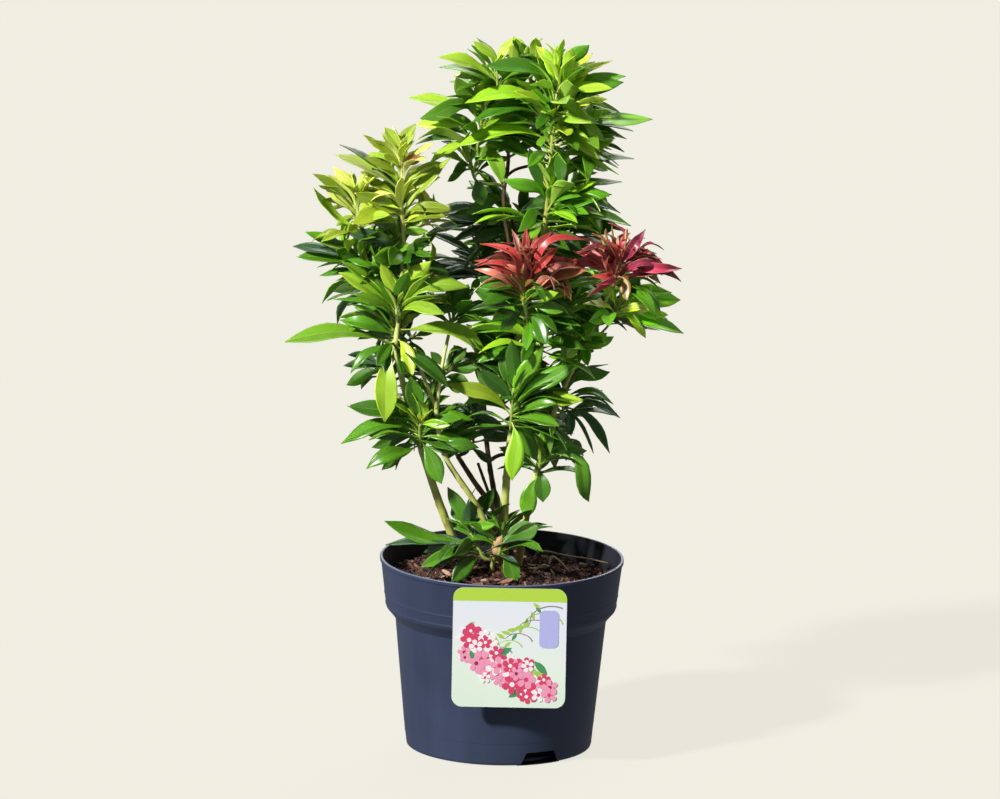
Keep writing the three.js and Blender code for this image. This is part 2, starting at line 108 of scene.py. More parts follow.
# ------------------------------------------------------------------------------ mesh piles
class Pile:
    """Gathers many small closed things of one kind, and makes one mesh of them."""

    def __init__(self, name):
        self.name, self.v, self.faces, self.slots, self.count = name, [], [], [], 0

    def mat(self, material):
        if material not in self.slots:
            self.slots.append(material)
        return self.slots.index(material)

    def add(self, verts, *parts):
        """verts (n, 3) in mm; each part: faces (k, 3 or 4), their slot numbers, and whether they are smooth."""
        for faces, mats, sm in parts:
            faces = np.asarray(faces, np.int64)
            k = len(faces)
            self.faces.append((faces + self.count, np.full(k, mats) if np.isscalar(mats) else np.asarray(mats), np.full(k, bool(sm))))
        self.v.append(np.asarray(verts, float))
        self.count += len(verts)

    def build(self):
        v = np.concatenate(self.v) * MM
        idx, start, mats, sm, at = [], [], [], [], 0
        for f, m, s in self.faces:
            n = f.shape[1]
            idx.append(f.ravel())
            start.append(at + np.arange(len(f)) * n)
            at += f.size
            mats.append(m)
            sm.append(s)
        idx, start = np.concatenate(idx), np.concatenate(start)
        mesh = bpy.data.meshes.new(self.name)
        mesh.vertices.add(len(v))
        mesh.vertices.foreach_set("co", v.astype(np.float32).ravel())
        mesh.loops.add(len(idx))
        mesh.loops.foreach_set("vertex_index", idx.astype(np.int32))
        mesh.polygons.add(len(start))
        mesh.polygons.foreach_set("loop_start", start.astype(np.int32))
        mesh.polygons.foreach_set("material_index", np.concatenate(mats).astype(np.int32))
        mesh.polygons.foreach_set("use_smooth", np.concatenate(sm))
        mesh.update(calc_edges=True)
        mesh.validate()
        for m in self.slots:
            mesh.materials.append(m)
        ob = bpy.data.objects.new(self.name, mesh)
        scene.collection.objects.link(ob)
        return ob


def settle(ob, slot, *nodes):
    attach(ob, "root")
    if nodes:
        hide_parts(*nodes)
    return ob


def grid_faces(rows, cols, wrap=False, flip=False):
    """Quads of a rows x cols grid of points; wrap joins the last column to the first."""
    r = np.arange(rows - 1)[:, None]
    c = np.arange(cols if wrap else cols - 1)[None, :]
    a = r * cols + c
    b = r * cols + (c + 1) % cols
    q = np.stack([a, b, b + cols, a + cols], -1).reshape(-1, 4)
    return q[:, ::-1] if flip else q


# ------------------------------------------------------------------------------ materials
def tree_of(name):
    m = bpy.data.materials.new(name)
    m.use_nodes = True
    nt = m.node_tree
    return m, nt, nt.nodes["Principled BSDF"]


def noise_node(nt, scale, detail=3.0, rough=0.55, stretch=None):
    co = nt.nodes.new("ShaderNodeTexCoord")
    n = nt.nodes.new("ShaderNodeTexNoise")
    n.inputs["Scale"].default_value = scale
    n.inputs["Detail"].default_value = detail
    n.inputs["Roughness"].default_value = rough
    if stretch:
        mp = nt.nodes.new("ShaderNodeMapping")
        mp.inputs["Scale"].default_value = stretch
        nt.links.new(co.outputs["Object"], mp.inputs["Vector"])
        nt.links.new(mp.outputs["Vector"], n.inputs["Vector"])
    else:
        nt.links.new(co.outputs["Object"], n.inputs["Vector"])
    return n


def spread(nt, source, low, high, start=0.3, stop=0.7):
    r = nt.nodes.new("ShaderNodeMapRange")
    r.inputs["From Min"].default_value, r.inputs["From Max"].default_value = start, stop
    r.inputs["To Min"].default_value, r.inputs["To Max"].default_value = low, high
    nt.links.new(source, r.inputs["Value"])
    return r.outputs["Result"]


def ramp(nt, source, stops):
    r = nt.nodes.new("ShaderNodeValToRGB")
    e = r.color_ramp.elements
    while len(e) < len(stops):
        e.new(0.5)
    for el, (at, col) in zip(e, stops):
        el.position = at
        el.color = (*col, 1)
    nt.links.new(source, r.inputs["Fac"])
    return r.outputs["Color"]


def bump(nt, shader, source, strength, distance):
    b = nt.nodes.new("ShaderNodeBump")
    b.inputs["Strength"].default_value = strength
    b.inputs["Distance"].default_value = distance
    nt.links.new(source, b.inputs["Height"])
    nt.links.new(b.outputs["Normal"], shader.inputs["Normal"])


_made = {}


def leaf_material(kind, colour, rough=0.34, gloss=0.5, coat=0.0):
    """One plain leaf colour; the shine varies softly over it, and light that falls on one side
    of a leaf shows through on the other."""
    key = (kind, tuple(round(c) for c in colour), rough)
    if key in _made:
        return _made[key]
    m, nt, sh = tree_of("%s_%d" % (kind, len(_made)))
    sh.inputs["Base Color"].default_value = (*srgb(*colour), 1)
    sh.inputs["Specular IOR Level"].default_value = gloss
    sh.inputs["Coat Weight"].default_value = coat
    sh.inputs["Coat Roughness"].default_value = 0.32
    if kind != "twig":
        sh.inputs["Subsurface Weight"].default_value = 0.6
        sh.inputs["Subsurface Radius"].default_value = (0.9, 1.0, 0.35)
        sh.inputs["Subsurface Scale"].default_value = 0.0012
    n = noise_node(nt, 90, 2.0)
    nt.links.new(spread(nt, n.outputs["Fac"], rough - 0.06, rough + 0.1), sh.inputs["Roughness"])
    _made[key] = m
    return m


# ------------------------------------------------------------------------------ the plant's plan
# limbs: name, parent, radius at foot, radius at tip, bark, the places its smooth curve runs through
LIMBS = [
    ("stem_main", None, 3.4, 1.25, "green", [(2, 9, 126), (2, 9, 201), (13, 9, 314), (29, 4, 422), (34, -3, 512)]),
    ("stem_left", None, 3.5, 2.1, "green", [(-24, 13, 126), (-53, -1, 202), (-77, -11, 281), (-87, -12, 323)]),
    ("stem_front", None, 2.7, 1.8, "green", [(8, 1, 126), (-18, -11, 189), (-47, -17, 237), (-54, -18, 277)]),
    ("stem_right", None, 3.0, 1.1, "green", [(11, 17, 126), (21, 11, 193), (38, 13, 262), (55, 9, 303), (75, -7, 333)]),
    ("stem_dark", None, 2.7, 1.8, "brown", [(13, 23, 126), (-2, 30, 172), (-24, 35, 203), (-36, 37, 221)]),
    ("stem_thin", None, 1.6, 1.1, "brown", [(1, 34, 126), (-7, 39, 177), (-20, 43, 214)]),
    ("stem_back", None, 2.5, 1.5, "brown", [(5, 45, 126), (-4, 61, 170), (-14, 81, 225), (-18, 93, 287)]),
    ("bough_left_crown", "stem_left", 2.0, 1.5, "green", [(-86, -12, 317), (-82, -6, 365), (-81, -6, 402), (-83, -7, 432)]),
    ("bough_left_side", "stem_left", 1.8, 1.3, "green", [(-86, -11, 313), (-98, 4, 348), (-112, 4, 392)]),
    ("bough_mid_left", "stem_front", 1.6, 1.2, "green", [(-53, -18, 272), (-62, -18, 293), (-71, -15, 319)]),
    ("bough_mid_right", "stem_front", 1.6, 1.2, "green", [(-53, -18, 270), (-49, -6, 304), (-43, 4, 334)]),
    ("bough_shade", "stem_main", 1.8, 1.3, "brown", [(12, 9, 303), (-2, 30, 335), (-20, 45, 364)]),
    ("bough_upper_left", "stem_main", 2.0, 1.2, "brown", [(19, 7, 346), (4, 25, 385), (-4, 23, 429), (-1, 19, 466), (-9, 16, 508)]),
    ("bough_red_left", "stem_main", 1.7, 1.3, "green", [(13, 9, 312), (18, -23, 333), (13, -47, 366)]),
    ("bough_red_right", "stem_right", 1.3, 1.1, "green", [(54, 9, 300), (68, -13, 339), (82, -30, 375)]),
]

# Gaps where the sky shows through, read off from the label side: x, z, radius.
OPEN = {
    "right edge of the crown": [(91, 514, 8), (95, 477, 5), (91, 459, 6), (95, 441, 7), (106, 428, 7)],
    "top edge of the crown": [(-12, 555, 6), (50, 560, 5), (71, 555, 5), (-45, 557, 7), (-50, 521, 5)],
    "windows under the crown": [(-44, 441, 9), (-37, 428, 4), (-42, 454, 5), (6, 461, 6), (15, 451, 5),
        (20, 441, 4), (3, 438, 5)],
    "left of the shade": [(-40, 402, 4), (-53, 398, 5), (-44, 391, 5)],
    "over the red shoots": [(124, 407, 9)],
    "beside the young shoots": [(-122, 480, 5), (-149, 418, 7), (-135, 418, 4)],
    "over and under the long leaf": [(-148, 365, 10), (-137, 342, 6), (-109, 312, 5), (-127, 312, 6)],
    "left edge, low": [(-115, 287, 5), (-122, 280, 9), (-122, 252, 7), (-113, 227, 8), (-100, 230, 4),
        (-72, 222, 5)],
    "between the middle shoots": [(-69, 333, 5), (-64, 317, 5), (-58, 307, 4), (-47, 310, 4), (-29, 294, 4),
        (-23, 289, 4), (-17, 281, 4), (-36, 274, 5), (-25, 351, 4), (-15, 264, 4), (-6, 261, 4)],
    "under the right arm": [(98, 318, 11), (82, 313, 8), (67, 310, 4), (74, 288, 4), (44, 263, 5), (63, 254, 5),
        (73, 244, 7), (72, 230, 7), (81, 210, 9)],
    "between the stems": [(-70, 212, 7), (-65, 192, 10), (-54, 209, 4), (-12, 232, 5), (-10, 216, 5), (10, 205, 5),
        (13, 192, 4), (48, 202, 9), (43, 189, 7)],
}

# Whorls: name, the mass it belongs to, apex and foot of the leafy shoot, length of its leaves, and
# its leading leaves: share of the way from apex to foot, bearing, rise, length, width as it shows,
# arch, tint, and for some how late the arch peaks. The other leaves of a whorl come from the rule in grow().
WHORLS = [
    ('crown_leader', 'crown_leader', (37, -5, 533), (31, -1, 458), 62, [
        (0.00,-72,73,35,6.2,0.06,'L'), (0.05,-31,51,43,11.7,0.10,'D'), (0.12,39,36,42,7.8,0.08,'L'), 
        (0.12,5,29,48,5.4,0.05,'Y'), (0.25,8,20,57,9.3,0.12,'M'), (0.38,-4,27,59,13.2,0.14,'D'), 
        (0.25,-16,17,47,7.0,0.15,'L'), (0.00,132,50,26,6.2,0.05,'D'), (0.14,-172,20,61,11.7,0.18,'V'), 
        (0.35,-175,5,71,10.9,0.18,'G'), (0.45,-174,-2,66,12.4,0.22,'V'), (0.70,-175,-2,75,11.7,0.17,'G'), 
        (0.48,2,3,76,8.5,0.02,'M'), (0.55,5,-1,62,6.2,0.10,'D'), (0.62,0,-1,57,9.3,0.14,'D'), 
        (0.48,-34,10,40,9.3,0.10,'P'), (0.68,-43,-7,50,10.9,0.25,'L'), (1.15,4,18,70,10.9,0.14,'M'), 
        (0.15,-121,18,43,7.8,0.10,'P'), (0.25,-70,1,44,9.3,0.10,'G'), (0.40,-110,-4,41,7.8,0.10,'V'), 
        (0.60,-70,-1,56,9.3,0.10,'M'), (0.75,-68,-45,33,10.9,0.10,'V'), (0.80,-118,-6,39,9.3,0.10,'D'), 
        (0.28,-83,13,62,5.4,0.06,'P'), (0.42,-100,16,47,5.4,0.06,'L'), (0.52,-80,6,60,6.2,0.06,'L'), 
        (0.60,-100,2,54,6.2,0.06,'G'), (0.72,-78,-3,54,6.2,0.06,'M'), (0.50,-94,8,59,5.4,0.06,'D'), ]),
    ('crown_shoulder', 'crown_leader', (12, 21, 537), (23, 11, 502), 50, [
        (0.30,-171,74,31,10.9,0.06,'D'), (0.35,178,69,37,10.1,0.06,'G'), (0.10,176,34,21,6.2,0.10,'L'), 
        (0.10,-15,30,19,6.2,0.10,'L'), (0.30,158,-6,28,7.8,0.10,'V'), ]),
    ('crown_left', 'crown_left', (-11, 16, 534), (-8, 17, 501), 56, [
        (0.00,-176,50,30,7.0,0.12,'L'), (0.25,-172,22,51,9.3,0.14,'L'), (0.30,169,5,35,7.0,0.10,'L'), 
        (0.60,144,-13,28,7.8,0.10,'V'), (0.50,-111,24,38,7.8,0.10,'V'), ]),
    ('crown_wing', 'crown_wing', (-21, 13, 504), (-25, 13, 469), 60, [
        (0.05,178,9,59,9.3,0.02,'L'), (0.20,-170,0,49,13.2,0.20,'M'), (0.50,179,4,51,10.1,0.12,'L'), 
        (0.70,168,-8,51,7.0,0.12,'D'), (0.50,157,13,35,9.3,0.10,'D'), (0.70,-156,-21,45,7.8,0.10,'L'), 
        (0.60,-107,17,50,7.8,0.10,'M'), ]),
    ('crown_wing_low', 'crown_wing_low', (-32, 16, 464), (-27, 16, 448), 42, [
        (0.30,-127,-8,22,8.5,0.10,'V'), (0.90,-33,-69,24,13.2,0.04,'V'), (0.50,163,-33,23,6.2,0.10,'D'), 
        (0.20,-11,37,20,7.8,0.10,'M'), (0.40,55,55,17,6.2,0.10,'L'), ]),
    ('crown_hanger', 'crown_wing_low', (-1, 17, 474), (-1, 17, 463), 45, [
        (0.00,-103,-49,34,12.4,0.30,'G'), (0.20,-44,40,20,7.8,0.10,'D'), (0.60,-123,59,23,7.8,0.10,'M'), ]),
    ('crown_skirt', 'crown_skirt', (31, 1, 441), (29, 3, 412), 60, [
        (0.10,2,12,58,6.2,0.10,'M'), (0.30,-11,11,49,10.9,0.12,'D'), (0.40,-4,-3,57,8.5,0.15,'D'), 
        (0.50,-12,-2,45,5.4,0.12,'P'), (0.70,2,-5,66,9.3,0.12,'M'), (0.40,-177,72,49,13.2,0.02,'V'), 
        (0.20,-1,74,33,14.0,0.05,'V'), (0.40,-166,33,43,10.9,0.15,'D'), (0.70,-128,-9,36,10.9,0.15,'D'), 
        (0.85,-110,-12,34,7.8,0.10,'G'), (0.60,-59,3,46,6.2,0.10,'G'), ]),
    ('shade_left', 'shade_left', (1, 40, 422), (5, 42, 395), 68, [
        (0.00,-155,-6,39,11.7,0.20,'M'), (0.20,-144,-20,24,9.3,0.15,'G'), (0.30,178,-5,70,9.3,0.12,'S'), 
        (0.50,178,-9,66,7.8,0.10,'S'), (0.60,172,-17,49,7.8,0.10,'V'), (0.80,-168,-12,35,9.3,0.10,'V'), ]),
    ('shade_centre', 'shade_centre', (-22, 47, 382), (-23, 49, 355), 52, [
        (0.20,179,27,46,7.8,0.08,'S'), (0.40,154,21,26,5.4,0.10,'S'), (0.50,173,9,33,5.4,0.10,'S'), 
        (0.80,172,1,40,8.5,0.10,'D'), (0.00,-50,72,14,7.8,0.10,'G'), (0.90,-102,-11,22,7.0,0.10,'G'), 
        (0.50,-39,20,30,10.9,0.10,'V'), (0.30,12,40,23,9.3,0.10,'V'), ]),
    ('red_left', 'red_left', (15, -51, 393), (13, -49, 364), 44, [
        (0.70,-173,53,51,7.0,0.25,'R'), (0.80,179,39,47,7.0,0.15,'R'), (0.90,-177,34,45,7.0,0.10,'r'), 
        (0.90,-165,26,30,6.2,0.15,'o'), (0.20,179,73,36,6.2,0.08,'r'), (0.10,111,85,34,6.2,0.05,'R'), 
        (0.20,-141,50,33,5.4,0.10,'r'), (0.10,5,75,29,6.2,0.08,'R'), (0.30,-13,46,37,7.0,0.30,'R'), 
        (0.40,1,66,45,7.0,0.10,'R'), (0.50,-3,40,61,7.0,0.22,'R'), (0.90,-1,27,55,10.1,0.16,'B'), 
        (0.80,-4,33,51,7.0,0.16,'r'), (0.50,-99,51,44,5.4,0.10,'r'), (0.60,-78,44,40,6.2,0.10,'w'), 
        (0.70,-48,51,39,6.2,0.10,'r'), (0.80,-115,42,33,6.2,0.10,'o'), (0.30,-112,65,37,4.7,0.10,'B'), 
        (0.40,-84,66,36,4.7,0.08,'r'), (0.50,-156,40,32,4.7,0.12,'r'), (0.60,-148,46,26,4.7,0.12,'B'), 
        (0.30,9,66,31,5.4,0.10,'w'), (0.20,-4,84,30,4.7,0.05,'r'), (0.60,-8,40,43,6.2,0.14,'R'), 
        (0.70,0,33,46,6.2,0.16,'B'), (0.50,-168,30,40,5.4,0.15,'R'), (0.80,-20,46,34,5.4,0.12,'B'), 
        (0.10,-125,66,24,3.9,0.08,'R'), (0.70,-66,40,21,5.4,0.10,'o'), ]),
    ('red_collar', 'heart_upper', (13, -49, 364), (10, -38, 343), 46, [
        (0.50,-176,41,46,15.5,0.16,'V'), (0.65,-40,-32,31,14.0,0.12,'V'), (0.30,-24,30,35,10.1,0.12,'G'), 
        (0.45,-3,6,35,10.9,0.14,'M'), (0.55,-162,-32,20,10.9,0.12,'D'), (0.20,-40,45,29,7.8,0.12,'D'), 
        (0.80,-78,-35,30,9.3,0.08,'D'), ]),
    ('red_right', 'red_right', (86, -32, 394), (82, -31, 373), 46, [
        (0.20,-1,56,37,9.3,0.30,'m',0.3), (0.40,1,5,51,9.3,0.18,'m'), (0.50,0,-1,51,7.8,0.15,'R'), 
        (0.60,-135,-19,31,7.0,0.20,'R'), (0.40,-175,12,43,7.8,0.15,'R'), (0.20,-177,45,33,7.0,0.20,'w'), 
        (0.30,-124,44,34,6.2,0.10,'r'), (0.45,-61,-44,25,9.3,0.12,'o'), (0.90,21,1,22,10.9,0.05,'D'), 
        (0.20,167,73,22,2.3,0.10,'t'), (0.20,98,84,27,2.3,0.10,'t'), (0.20,-135,67,36,2.3,0.20,'t'), 
        (0.30,-81,56,34,2.3,0.20,'t'), (0.25,-155,81,35,2.3,0.15,'t'), (0.10,-119,48,36,2.3,0.20,'t'), 
        (0.15,-80,50,42,2.3,0.20,'t'), (0.50,-106,26,41,6.2,0.10,'w'), (0.10,-58,41,29,7.0,0.10,'m'), 
        (0.30,-23,61,35,6.2,0.10,'m'), (0.40,-11,15,38,6.2,0.22,'m'), (0.40,-167,63,36,5.4,0.18,'R'), 
        (0.50,-177,31,38,6.2,0.15,'R'), (0.60,-134,12,25,6.2,0.18,'R'), (0.20,-74,57,23,4.7,0.08,'r'), 
        (0.70,-113,6,30,6.2,0.12,'m'), (0.50,-99,35,26,6.2,0.10,'m'), (0.30,-169,44,30,5.4,0.14,'B'), 
        (0.60,-168,28,28,7.0,0.16,'B'), ]),
    ('right_arm', 'right_arm', (89, -13, 360), (80, -9, 340), 56, [
        (0.20,2,14,42,10.1,0.20,'M'), (0.30,3,7,49,14.8,0.12,'M'), (0.30,-16,-6,37,10.9,0.12,'M'), 
        (0.50,-44,13,38,7.8,0.10,'P'), (0.60,1,-15,56,10.9,0.10,'M'), (1.00,-11,-4,40,2.3,0.02,'q'), 
        (0.75,-128,4,30,12.4,0.12,'M'), (0.50,-96,0,50,10.1,0.10,'M'), ]),
    ('right_inner', 'right_inner', (51, -8, 328), (56, 1, 308), 36, [
        (0.30,-14,19,28,8.5,0.10,'M'), (0.00,-103,72,16,9.3,0.10,'P'), (0.90,-125,-22,24,9.3,0.12,'D'), 
        (0.20,-48,38,34,10.1,0.10,'M'), (0.60,-66,-15,25,8.5,0.12,'D'), (0.60,-112,0,22,9.3,0.05,'P'), 
        (0.20,159,66,29,7.8,0.10,'G'), (0.50,2,-8,15,7.0,0.10,'V'), ]),
    ('heart_upper', 'heart_upper', (26, -8, 359), (26, -6, 317), 62, [
        (0.70,-176,35,65,16.3,0.12,'D'), (0.55,-145,39,55,10.9,0.10,'D'), (0.50,-129,31,38,14.0,0.10,'M'), 
        (0.75,179,3,62,10.9,0.12,'M'), (0.40,-46,61,34,10.9,0.08,'D'), (0.50,-55,7,45,14.0,0.10,'V'), 
        (0.45,-27,24,43,9.3,0.10,'G'), (0.20,2,65,37,10.9,0.10,'V'), (0.10,-1,18,41,9.3,0.10,'D'), 
        (0.80,-115,-18,35,10.9,0.10,'V'), (0.60,-85,16,45,14.0,0.10,'V'), (0.30,163,42,45,9.3,0.10,'V'), ]),
    ('heart_lower', 'heart_lower', (6, -25, 283), (5, -25, 262), 60, [
        (0.30,-3,64,53,14.0,0.08,'M'), (0.40,-4,37,62,14.8,0.10,'D'), (0.50,-4,11,57,10.9,0.10,'L'), 
        (0.60,178,24,55,11.7,0.15,'O'), (0.30,-173,49,39,12.4,0.08,'V'), (0.10,-102,81,51,14.0,0.05,'V'), 
        (0.20,131,68,42,10.9,0.05,'V'), (0.00,-72,64,10,7.8,0.05,'P'), (0.90,-84,-70,46,15.5,0.06,'G'), 
        (0.80,18,-58,41,12.4,0.06,'D'), (0.70,150,15,41,9.3,0.10,'D'), (0.40,49,51,36,12.4,0.06,'V'), ]),
    ('drooping_right', 'drooping_right', (47, 21, 278), (45, 18, 262), 52, [
        (0.10,4,27,39,11.7,0.20,'D'), (0.30,7,-8,39,6.2,0.25,'D'), (0.40,0,-17,46,8.5,0.20,'S'), 
        (0.60,-3,-46,53,8.5,0.20,'S'), (0.70,13,-57,46,2.3,0.10,'S'), (0.80,-56,-59,23,8.5,0.10,'S'), 
        (0.90,-136,-49,28,10.9,0.10,'D'), (0.90,115,-76,40,9.3,0.10,'D'), (0.00,3,42,31,9.3,0.10,'V'), ]),
    ('low_right', 'low_right', (29, 1, 231), (27, 4, 216), 48, [
        (0.20,8,10,37,10.9,0.15,'M'), (0.50,3,-37,49,12.4,0.42,'M'), (0.70,-72,-64,27,14.0,0.06,'V'), 
        (1.00,-166,-75,37,14.0,0.08,'M'), (0.60,152,-5,17,4.7,0.10,'V'), (0.00,122,55,22,12.4,0.05,'D'), 
        (0.00,7,70,26,9.3,0.05,'D'), ]),
    ('young_left', 'young_left', (-84, -7, 468), (-82, -7, 417), 50, [
        (0.00,170,61,27,10.1,0.08,'Y'), (0.15,177,40,39,5.4,0.08,'O'), (0.00,4,62,22,4.7,0.05,'Y'), 
        (0.05,-80,42,30,5.4,0.05,'Y'), (0.20,-43,37,25,9.3,0.10,'B'), (0.10,-135,27,22,6.2,0.10,'Y'), 
        (0.50,180,36,60,5.4,0.08,'S'), (0.55,-179,30,60,10.1,0.10,'y'), (0.45,-180,35,44,6.2,0.08,'L'), 
        (0.35,-178,32,34,7.0,0.10,'O'), (0.75,170,35,37,6.2,0.08,'O'), (0.95,-164,30,45,11.7,0.10,'O'), 
        (0.85,-92,51,44,7.0,0.05,'y'), (0.80,-46,70,26,6.2,0.10,'O'), (1.00,0,55,64,11.7,0.10,'Y'), 
        (1.10,-8,31,39,8.5,0.20,'Y'), (0.30,102,50,31,6.2,0.05,'L'), ]),
    ('young_side', 'young_side', (-119, -7, 437), (-114, -3, 405), 44, [
        (0.10,-175,56,32,8.5,0.10,'y'), (0.00,108,78,18,5.4,0.05,'Y'), (0.40,-180,40,46,5.4,0.10,'O'), 
        (0.60,-176,44,38,9.3,0.10,'y'), (0.90,-179,43,51,7.0,-0.12,'L'), (0.70,178,51,46,6.2,0.06,'O'), 
        (0.10,-40,65,19,5.4,0.05,'Y'), (0.50,-57,32,24,7.8,0.10,'Y'), (0.80,-114,3,22,9.3,0.10,'O'), 
        (0.30,27,48,18,6.2,0.10,'O'), ]),
    ('dark_left', 'dark_left', (-122, 4, 388), (-108, 6, 361), 52, [
        (0.10,-178,29,42,9.3,0.10,'D'), (0.00,-175,32,22,7.0,0.10,'D'), (0.30,-178,16,51,7.0,0.10,'S'), 
        (0.45,-176,12,49,9.3,0.10,'M'), (0.60,180,-2,32,6.2,0.10,'D'), (0.00,-86,41,26,9.3,0.10,'L'), 
        (0.80,-157,49,31,10.9,0.10,'D'), (0.50,-148,42,29,10.1,0.14,'D'), (0.75,-159,38,13,10.9,0.12,'M'), ]),
    ('dark_centre', 'dark_centre', (-86, -3, 405), (-84, 1, 367), 46, [
        (0.20,169,41,32,7.0,0.10,'D'), (0.10,-177,55,24,10.1,0.10,'G'), (0.30,-171,20,44,10.9,0.10,'S'), 
        (0.50,-119,12,40,15.5,0.10,'M'), (0.30,-99,-6,35,15.5,0.10,'D'), (0.00,-24,15,27,7.8,0.10,'G'), 
        (0.50,-31,33,29,9.3,0.10,'D'), (0.40,-74,3,36,12.4,0.10,'V'), (0.70,-176,-19,30,9.3,0.10,'D'), ]),
    ('bright_left', 'bright_left', (-85, -18, 353), (-88, -13, 320), 62, [
        (0.30,-173,39,58,10.1,0.10,'L'), (0.15,177,42,58,7.0,0.08,'G'), (0.20,174,52,38,8.5,0.08,'D'), 
        (0.05,-149,68,40,10.1,0.06,'L'), (0.10,-29,55,52,14.0,0.10,'L'), (0.30,-60,65,45,10.9,0.10,'D'), 
        (0.30,-1,24,63,10.9,0.30,'L'), (0.30,-37,12,49,8.5,0.20,'L'), (0.60,-3,-13,74,11.7,0.20,'L',0.25), 
        (0.50,-180,23,52,4.7,0.14,'D'), (0.95,-179,0,84,10.9,0.14,'G'), (1.00,-105,-72,60,21.0,0.05,'L'), 
        (0.80,-48,-47,35,12.4,0.10,'L'), (0.40,12,10,52,9.3,0.10,'D'), (0.20,-152,27,41,7.8,0.10,'G'), ]),
    ('low_left', 'low_left', (-66, -20, 261), (-65, -13, 240), 54, [
        (0.10,-180,14,58,13.2,0.10,'D'), (0.50,-180,-8,62,11.7,0.22,'D'), (0.60,-168,-11,39,10.1,0.08,'D'), 
        (0.90,-158,-30,37,10.9,0.15,'D'), (0.80,-33,-56,37,14.8,0.05,'D'), (0.60,-9,-2,37,7.8,0.10,'M'), 
        (0.00,-133,74,40,14.8,0.06,'D'), (0.10,-30,7,28,7.8,0.10,'G'), (0.20,38,32,24,9.3,0.10,'D'), 
        (0.10,169,38,35,9.3,0.10,'D'), ]),
    ('slate_centre', 'slate_centre', (-25, 45, 255), (-28, 42, 225), 34, [
        (0.90,-28,-29,24,6.2,0.05,'V'), (0.20,-4,-8,24,6.2,0.10,'S'), (0.10,160,25,18,6.2,0.10,'S'), 
        (0.00,-37,81,22,7.0,0.10,'S'), (0.30,174,-25,18,6.2,0.10,'S'), (0.50,-4,-17,22,5.4,0.10,'S'), ]),
    ('blue_left', 'blue_left', (-97, 35, 296), (-90, 25, 280), 36, [
        (0.10,180,-4,30,6.2,0.10,'S'), (0.20,-177,18,29,5.4,0.15,'S'), (0.00,-135,75,14,7.8,0.05,'S'), 
        (0.50,-177,-18,32,10.1,0.14,'D'), ]),
    ('foot_left', 'foot_left', (-25, -6, 172), (-15, -8, 152), 58, [
        (0.50,180,13,74,10.9,-0.10,'D'), (0.70,179,1,73,6.2,0.08,'S'), (0.80,-160,-11,50,10.1,0.12,'D'), 
        (0.60,-117,1,40,10.9,0.12,'D'), (1.00,-137,-25,36,14.0,0.10,'D'), (0.30,154,58,45,11.7,0.06,'D'), 
        (0.10,-96,66,32,11.7,0.05,'S'), (0.00,-45,20,29,7.8,0.10,'M'), (0.40,137,18,34,7.8,0.10,'D'), ]),
    ('foot_front', 'foot_front', (0, -15, 172), (-2, -18, 157), 44, [
        (1.00,-23,-57,27,14.0,0.06,'D'), (0.60,-7,29,34,17.1,0.10,'D'), (0.00,-165,44,17,7.0,0.10,'M'), 
        (0.20,11,11,41,4.7,0.12,'D'), ]),
    ('gap_middle', 'heart_upper', (-39, 1, 345), (-44, -1, 329), 46, [
        (0.30,-45,63,33,10.9,0.06,'D'), (0.20,-17,82,24,7.8,0.10,'G'), (0.50,-8,28,30,7.0,0.10,'D'), 
        (0.70,-9,21,41,7.0,0.12,'M'), (0.80,-23,16,36,6.2,0.12,'M'), (0.60,-58,41,38,7.8,0.10,'D'), 
        (0.50,118,62,26,7.8,0.10,'V'), (0.90,154,19,14,6.2,0.10,'D'), (1.00,5,-19,48,10.1,0.10,'V'), 
        (1.00,-25,-15,30,7.8,0.10,'V'), ]),
    ('gap_lower', 'heart_lower', (-46, 4, 301), (-51, -1, 286), 40, [
        (0.20,-2,45,23,7.8,0.10,'V'), (0.40,-1,11,27,9.3,0.10,'D'), (0.60,-1,-11,22,9.3,0.10,'D'), 
        (0.30,156,50,19,7.0,0.10,'V'), (0.60,-152,21,17,7.8,0.12,'V'), (0.80,-31,-16,20,7.8,0.10,'M'), ]),
    ('dark_tip', 'low_left', (-49, 49, 240), (-45, 45, 231), 38, [
        (0.20,177,57,17,7.0,0.12,'D'), (0.50,-48,70,28,7.0,0.10,'S'), (0.80,164,-9,17,7.0,0.12,'V'), ]),
    ('thin_tip', 'slate_centre', (-27, 57, 240), (-24, 51, 230), 36, [
        (0.20,-2,48,20,7.0,0.12,'D'), (0.60,163,39,18,6.2,0.10,'S'), ]),
    ('back_crown', 'back_crown', (39, 61, 487), (36, 52, 464), 54, []),
    ('back_skirt', 'back_skirt', (45, 69, 409), (39, 59, 390), 56, []),
    ('back_arm', 'back_arm', (77, 57, 344), (68, 47, 325), 54, []),
    ('back_heart', 'back_heart', (20, 100, 341), (14, 93, 316), 56, []),
    ('back_middle', 'back_middle', (-1, 93, 292), (-4, 85, 268), 54, []),
    ('back_low_right', 'back_low_right', (43, 78, 242), (39, 69, 225), 50, []),
    ('back_young', 'back_young', (-91, 54, 424), (-87, 47, 400), 44, []),
    ('back_left', 'back_left', (-96, 73, 367), (-91, 64, 345), 52, []),
    ('back_bright', 'back_bright', (-85, 76, 312), (-83, 66, 293), 52, []),
    ('back_low_left', 'back_low_left', (-60, 78, 249), (-55, 71, 233), 48, []),
    ('back_shade', 'back_shade', (-9, 100, 383), (-6, 93, 364), 50, []),
    ('back_foot', 'back_foot', (-5, 61, 161), (-3, 52, 147), 40, []),
]

